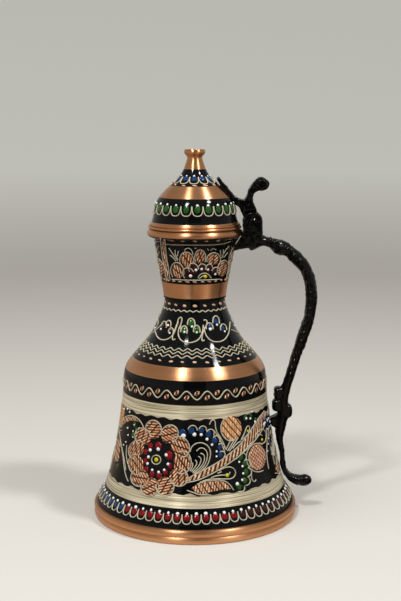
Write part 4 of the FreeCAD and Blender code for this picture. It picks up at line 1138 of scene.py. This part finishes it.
# %% Stage and light
MIDDLE = Vector((0, 0, 130)) * MM
COVE_RADIUS = 0.9
COVE_FOOT = 1.3
COVE_TOP = (2.2, 2.6)
SHADE_HEIGHT = 0.15
STAGE_STEPS = 64
STAGE_MERGE = 0.0001
# Name, turn and rise in degrees, distance and size in metres, watts, and whether reflections see it
LAMPS = [("lamp_left", -28, 52, 1.2, 0.13, 7, True), ("lamp_right", 60, 56, 1.2, 0.13, 8, True),
         ("lamp_above", -60, 62, 1.6, 1.1, 10, False)]
# Name, paint, outline in metres from the axis and up, sweep and facing in degrees
CARDS = [("flag", "#000000", [(1.0, 0.05), (1.0, 0.75)], 34, 0),
         ("floor_card", "#9A8A7C", [(0.09, 0.0005), (1.25, 0.0005)], 360, 0),
         ("dark_card", "#120C0A", [(0.1, 0.001), (0.7, 0.001)], 24, -18),
         ("dim_card", "#3A2E28", [(0.1, 0.001), (0.7, 0.001)], 70, 95)]


def hang_lamp(name, turn, rise, away, size, strength, seen):
    turn, rise = math.radians(turn), math.radians(rise)
    lamp = bpy.data.objects.new(name, bpy.data.lights.new(name, "AREA"))
    lamp.data.size = size
    lamp.data.energy = strength
    lamp.visible_glossy = seen
    to_lamp = Vector((math.sin(turn) * math.cos(rise), -math.cos(turn) * math.cos(rise), math.sin(rise)))
    lamp.location = MIDDLE + to_lamp * away
    lamp.rotation_euler = to_lamp.to_track_quat("Z", "Y").to_euler()
    bpy.context.scene.collection.objects.link(lamp)


def card_paint(name, hex_colour):
    made, tree, shader, _ = finish_named(name)
    feed(tree, shader, {"Base Color": linear(hex_colour), "Roughness": 0.9, "Specular IOR Level": 0.0})
    return made


def cove_paint():
    made, tree, shader, place = finish_named("pale_floor_and_wall_paint")
    up = add(tree, "ShaderNodeSeparateXYZ", {0: place}).outputs["Z"]
    rise = add(tree, RANGE, {"Value": up, "From Max": SHADE_HEIGHT}).outputs[0]
    shade = add(tree, MIX, {0: rise, 6: linear("#C6C3BC"), 7: linear("#E6E6DE")}, data_type="RGBA").outputs[2]
    feed(tree, shader, {"Base Color": shade, "Roughness": 0.9, "Specular IOR Level": 0.1})
    return made


def turned_stage(name, outline, finish, sweep=360, facing=0):
    shape = bmesh.new()
    points = [shape.verts.new((0, -across, up)) for across, up in outline]
    edges = [shape.edges.new(pair) for pair in zip(points, points[1:])]
    turned = Matrix.Rotation(math.radians(facing - sweep / 2 if sweep < 360 else 0), 3, "Z")
    bmesh.ops.rotate(shape, verts=shape.verts, cent=(0, 0, 0), matrix=turned)
    bmesh.ops.spin(shape, geom=points + edges, cent=(0, 0, 0), axis=(0, 0, 1), angle=math.radians(sweep),
                   steps=STAGE_STEPS, use_merge=sweep == 360)
    bmesh.ops.remove_doubles(shape, verts=shape.verts, dist=STAGE_MERGE)
    mesh = bpy.data.meshes.new(name)
    shape.to_mesh(mesh)
    shape.free()
    mesh.shade_smooth()
    mesh.materials.append(finish)
    piece = bpy.data.objects.new(name, mesh)
    bpy.context.scene.collection.objects.link(piece)
    piece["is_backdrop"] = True
    return piece


bend = [(COVE_FOOT + COVE_RADIUS * math.sin(a), COVE_RADIUS - COVE_RADIUS * math.cos(a))
        for a in np.radians(range(0, 91, 10))]
cove = turned_stage("floor_and_wall", [(0, 0)] + bend + [COVE_TOP], cove_paint())
cove.visible_diffuse = False
cove.visible_shadow = False
for name, colour, outline, sweep, facing in CARDS:
    card = turned_stage(name, outline, card_paint(f"{name}_paint", colour), sweep, facing)
    card.visible_camera = False
    card.visible_diffuse = False
    card.visible_shadow = False
for lamp in LAMPS:
    hang_lamp(*lamp)
world = bpy.data.worlds.new("soft_surround")
world.use_nodes = True
feed(world.node_tree, world.node_tree.nodes["Background"], {"Color": linear("#D8D6D4"), "Strength": 0.6})
bpy.context.scene.world = world
print("lamps:", len(LAMPS), "cards:", len(CARDS))

# %% Sizes, and the end
low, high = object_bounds()
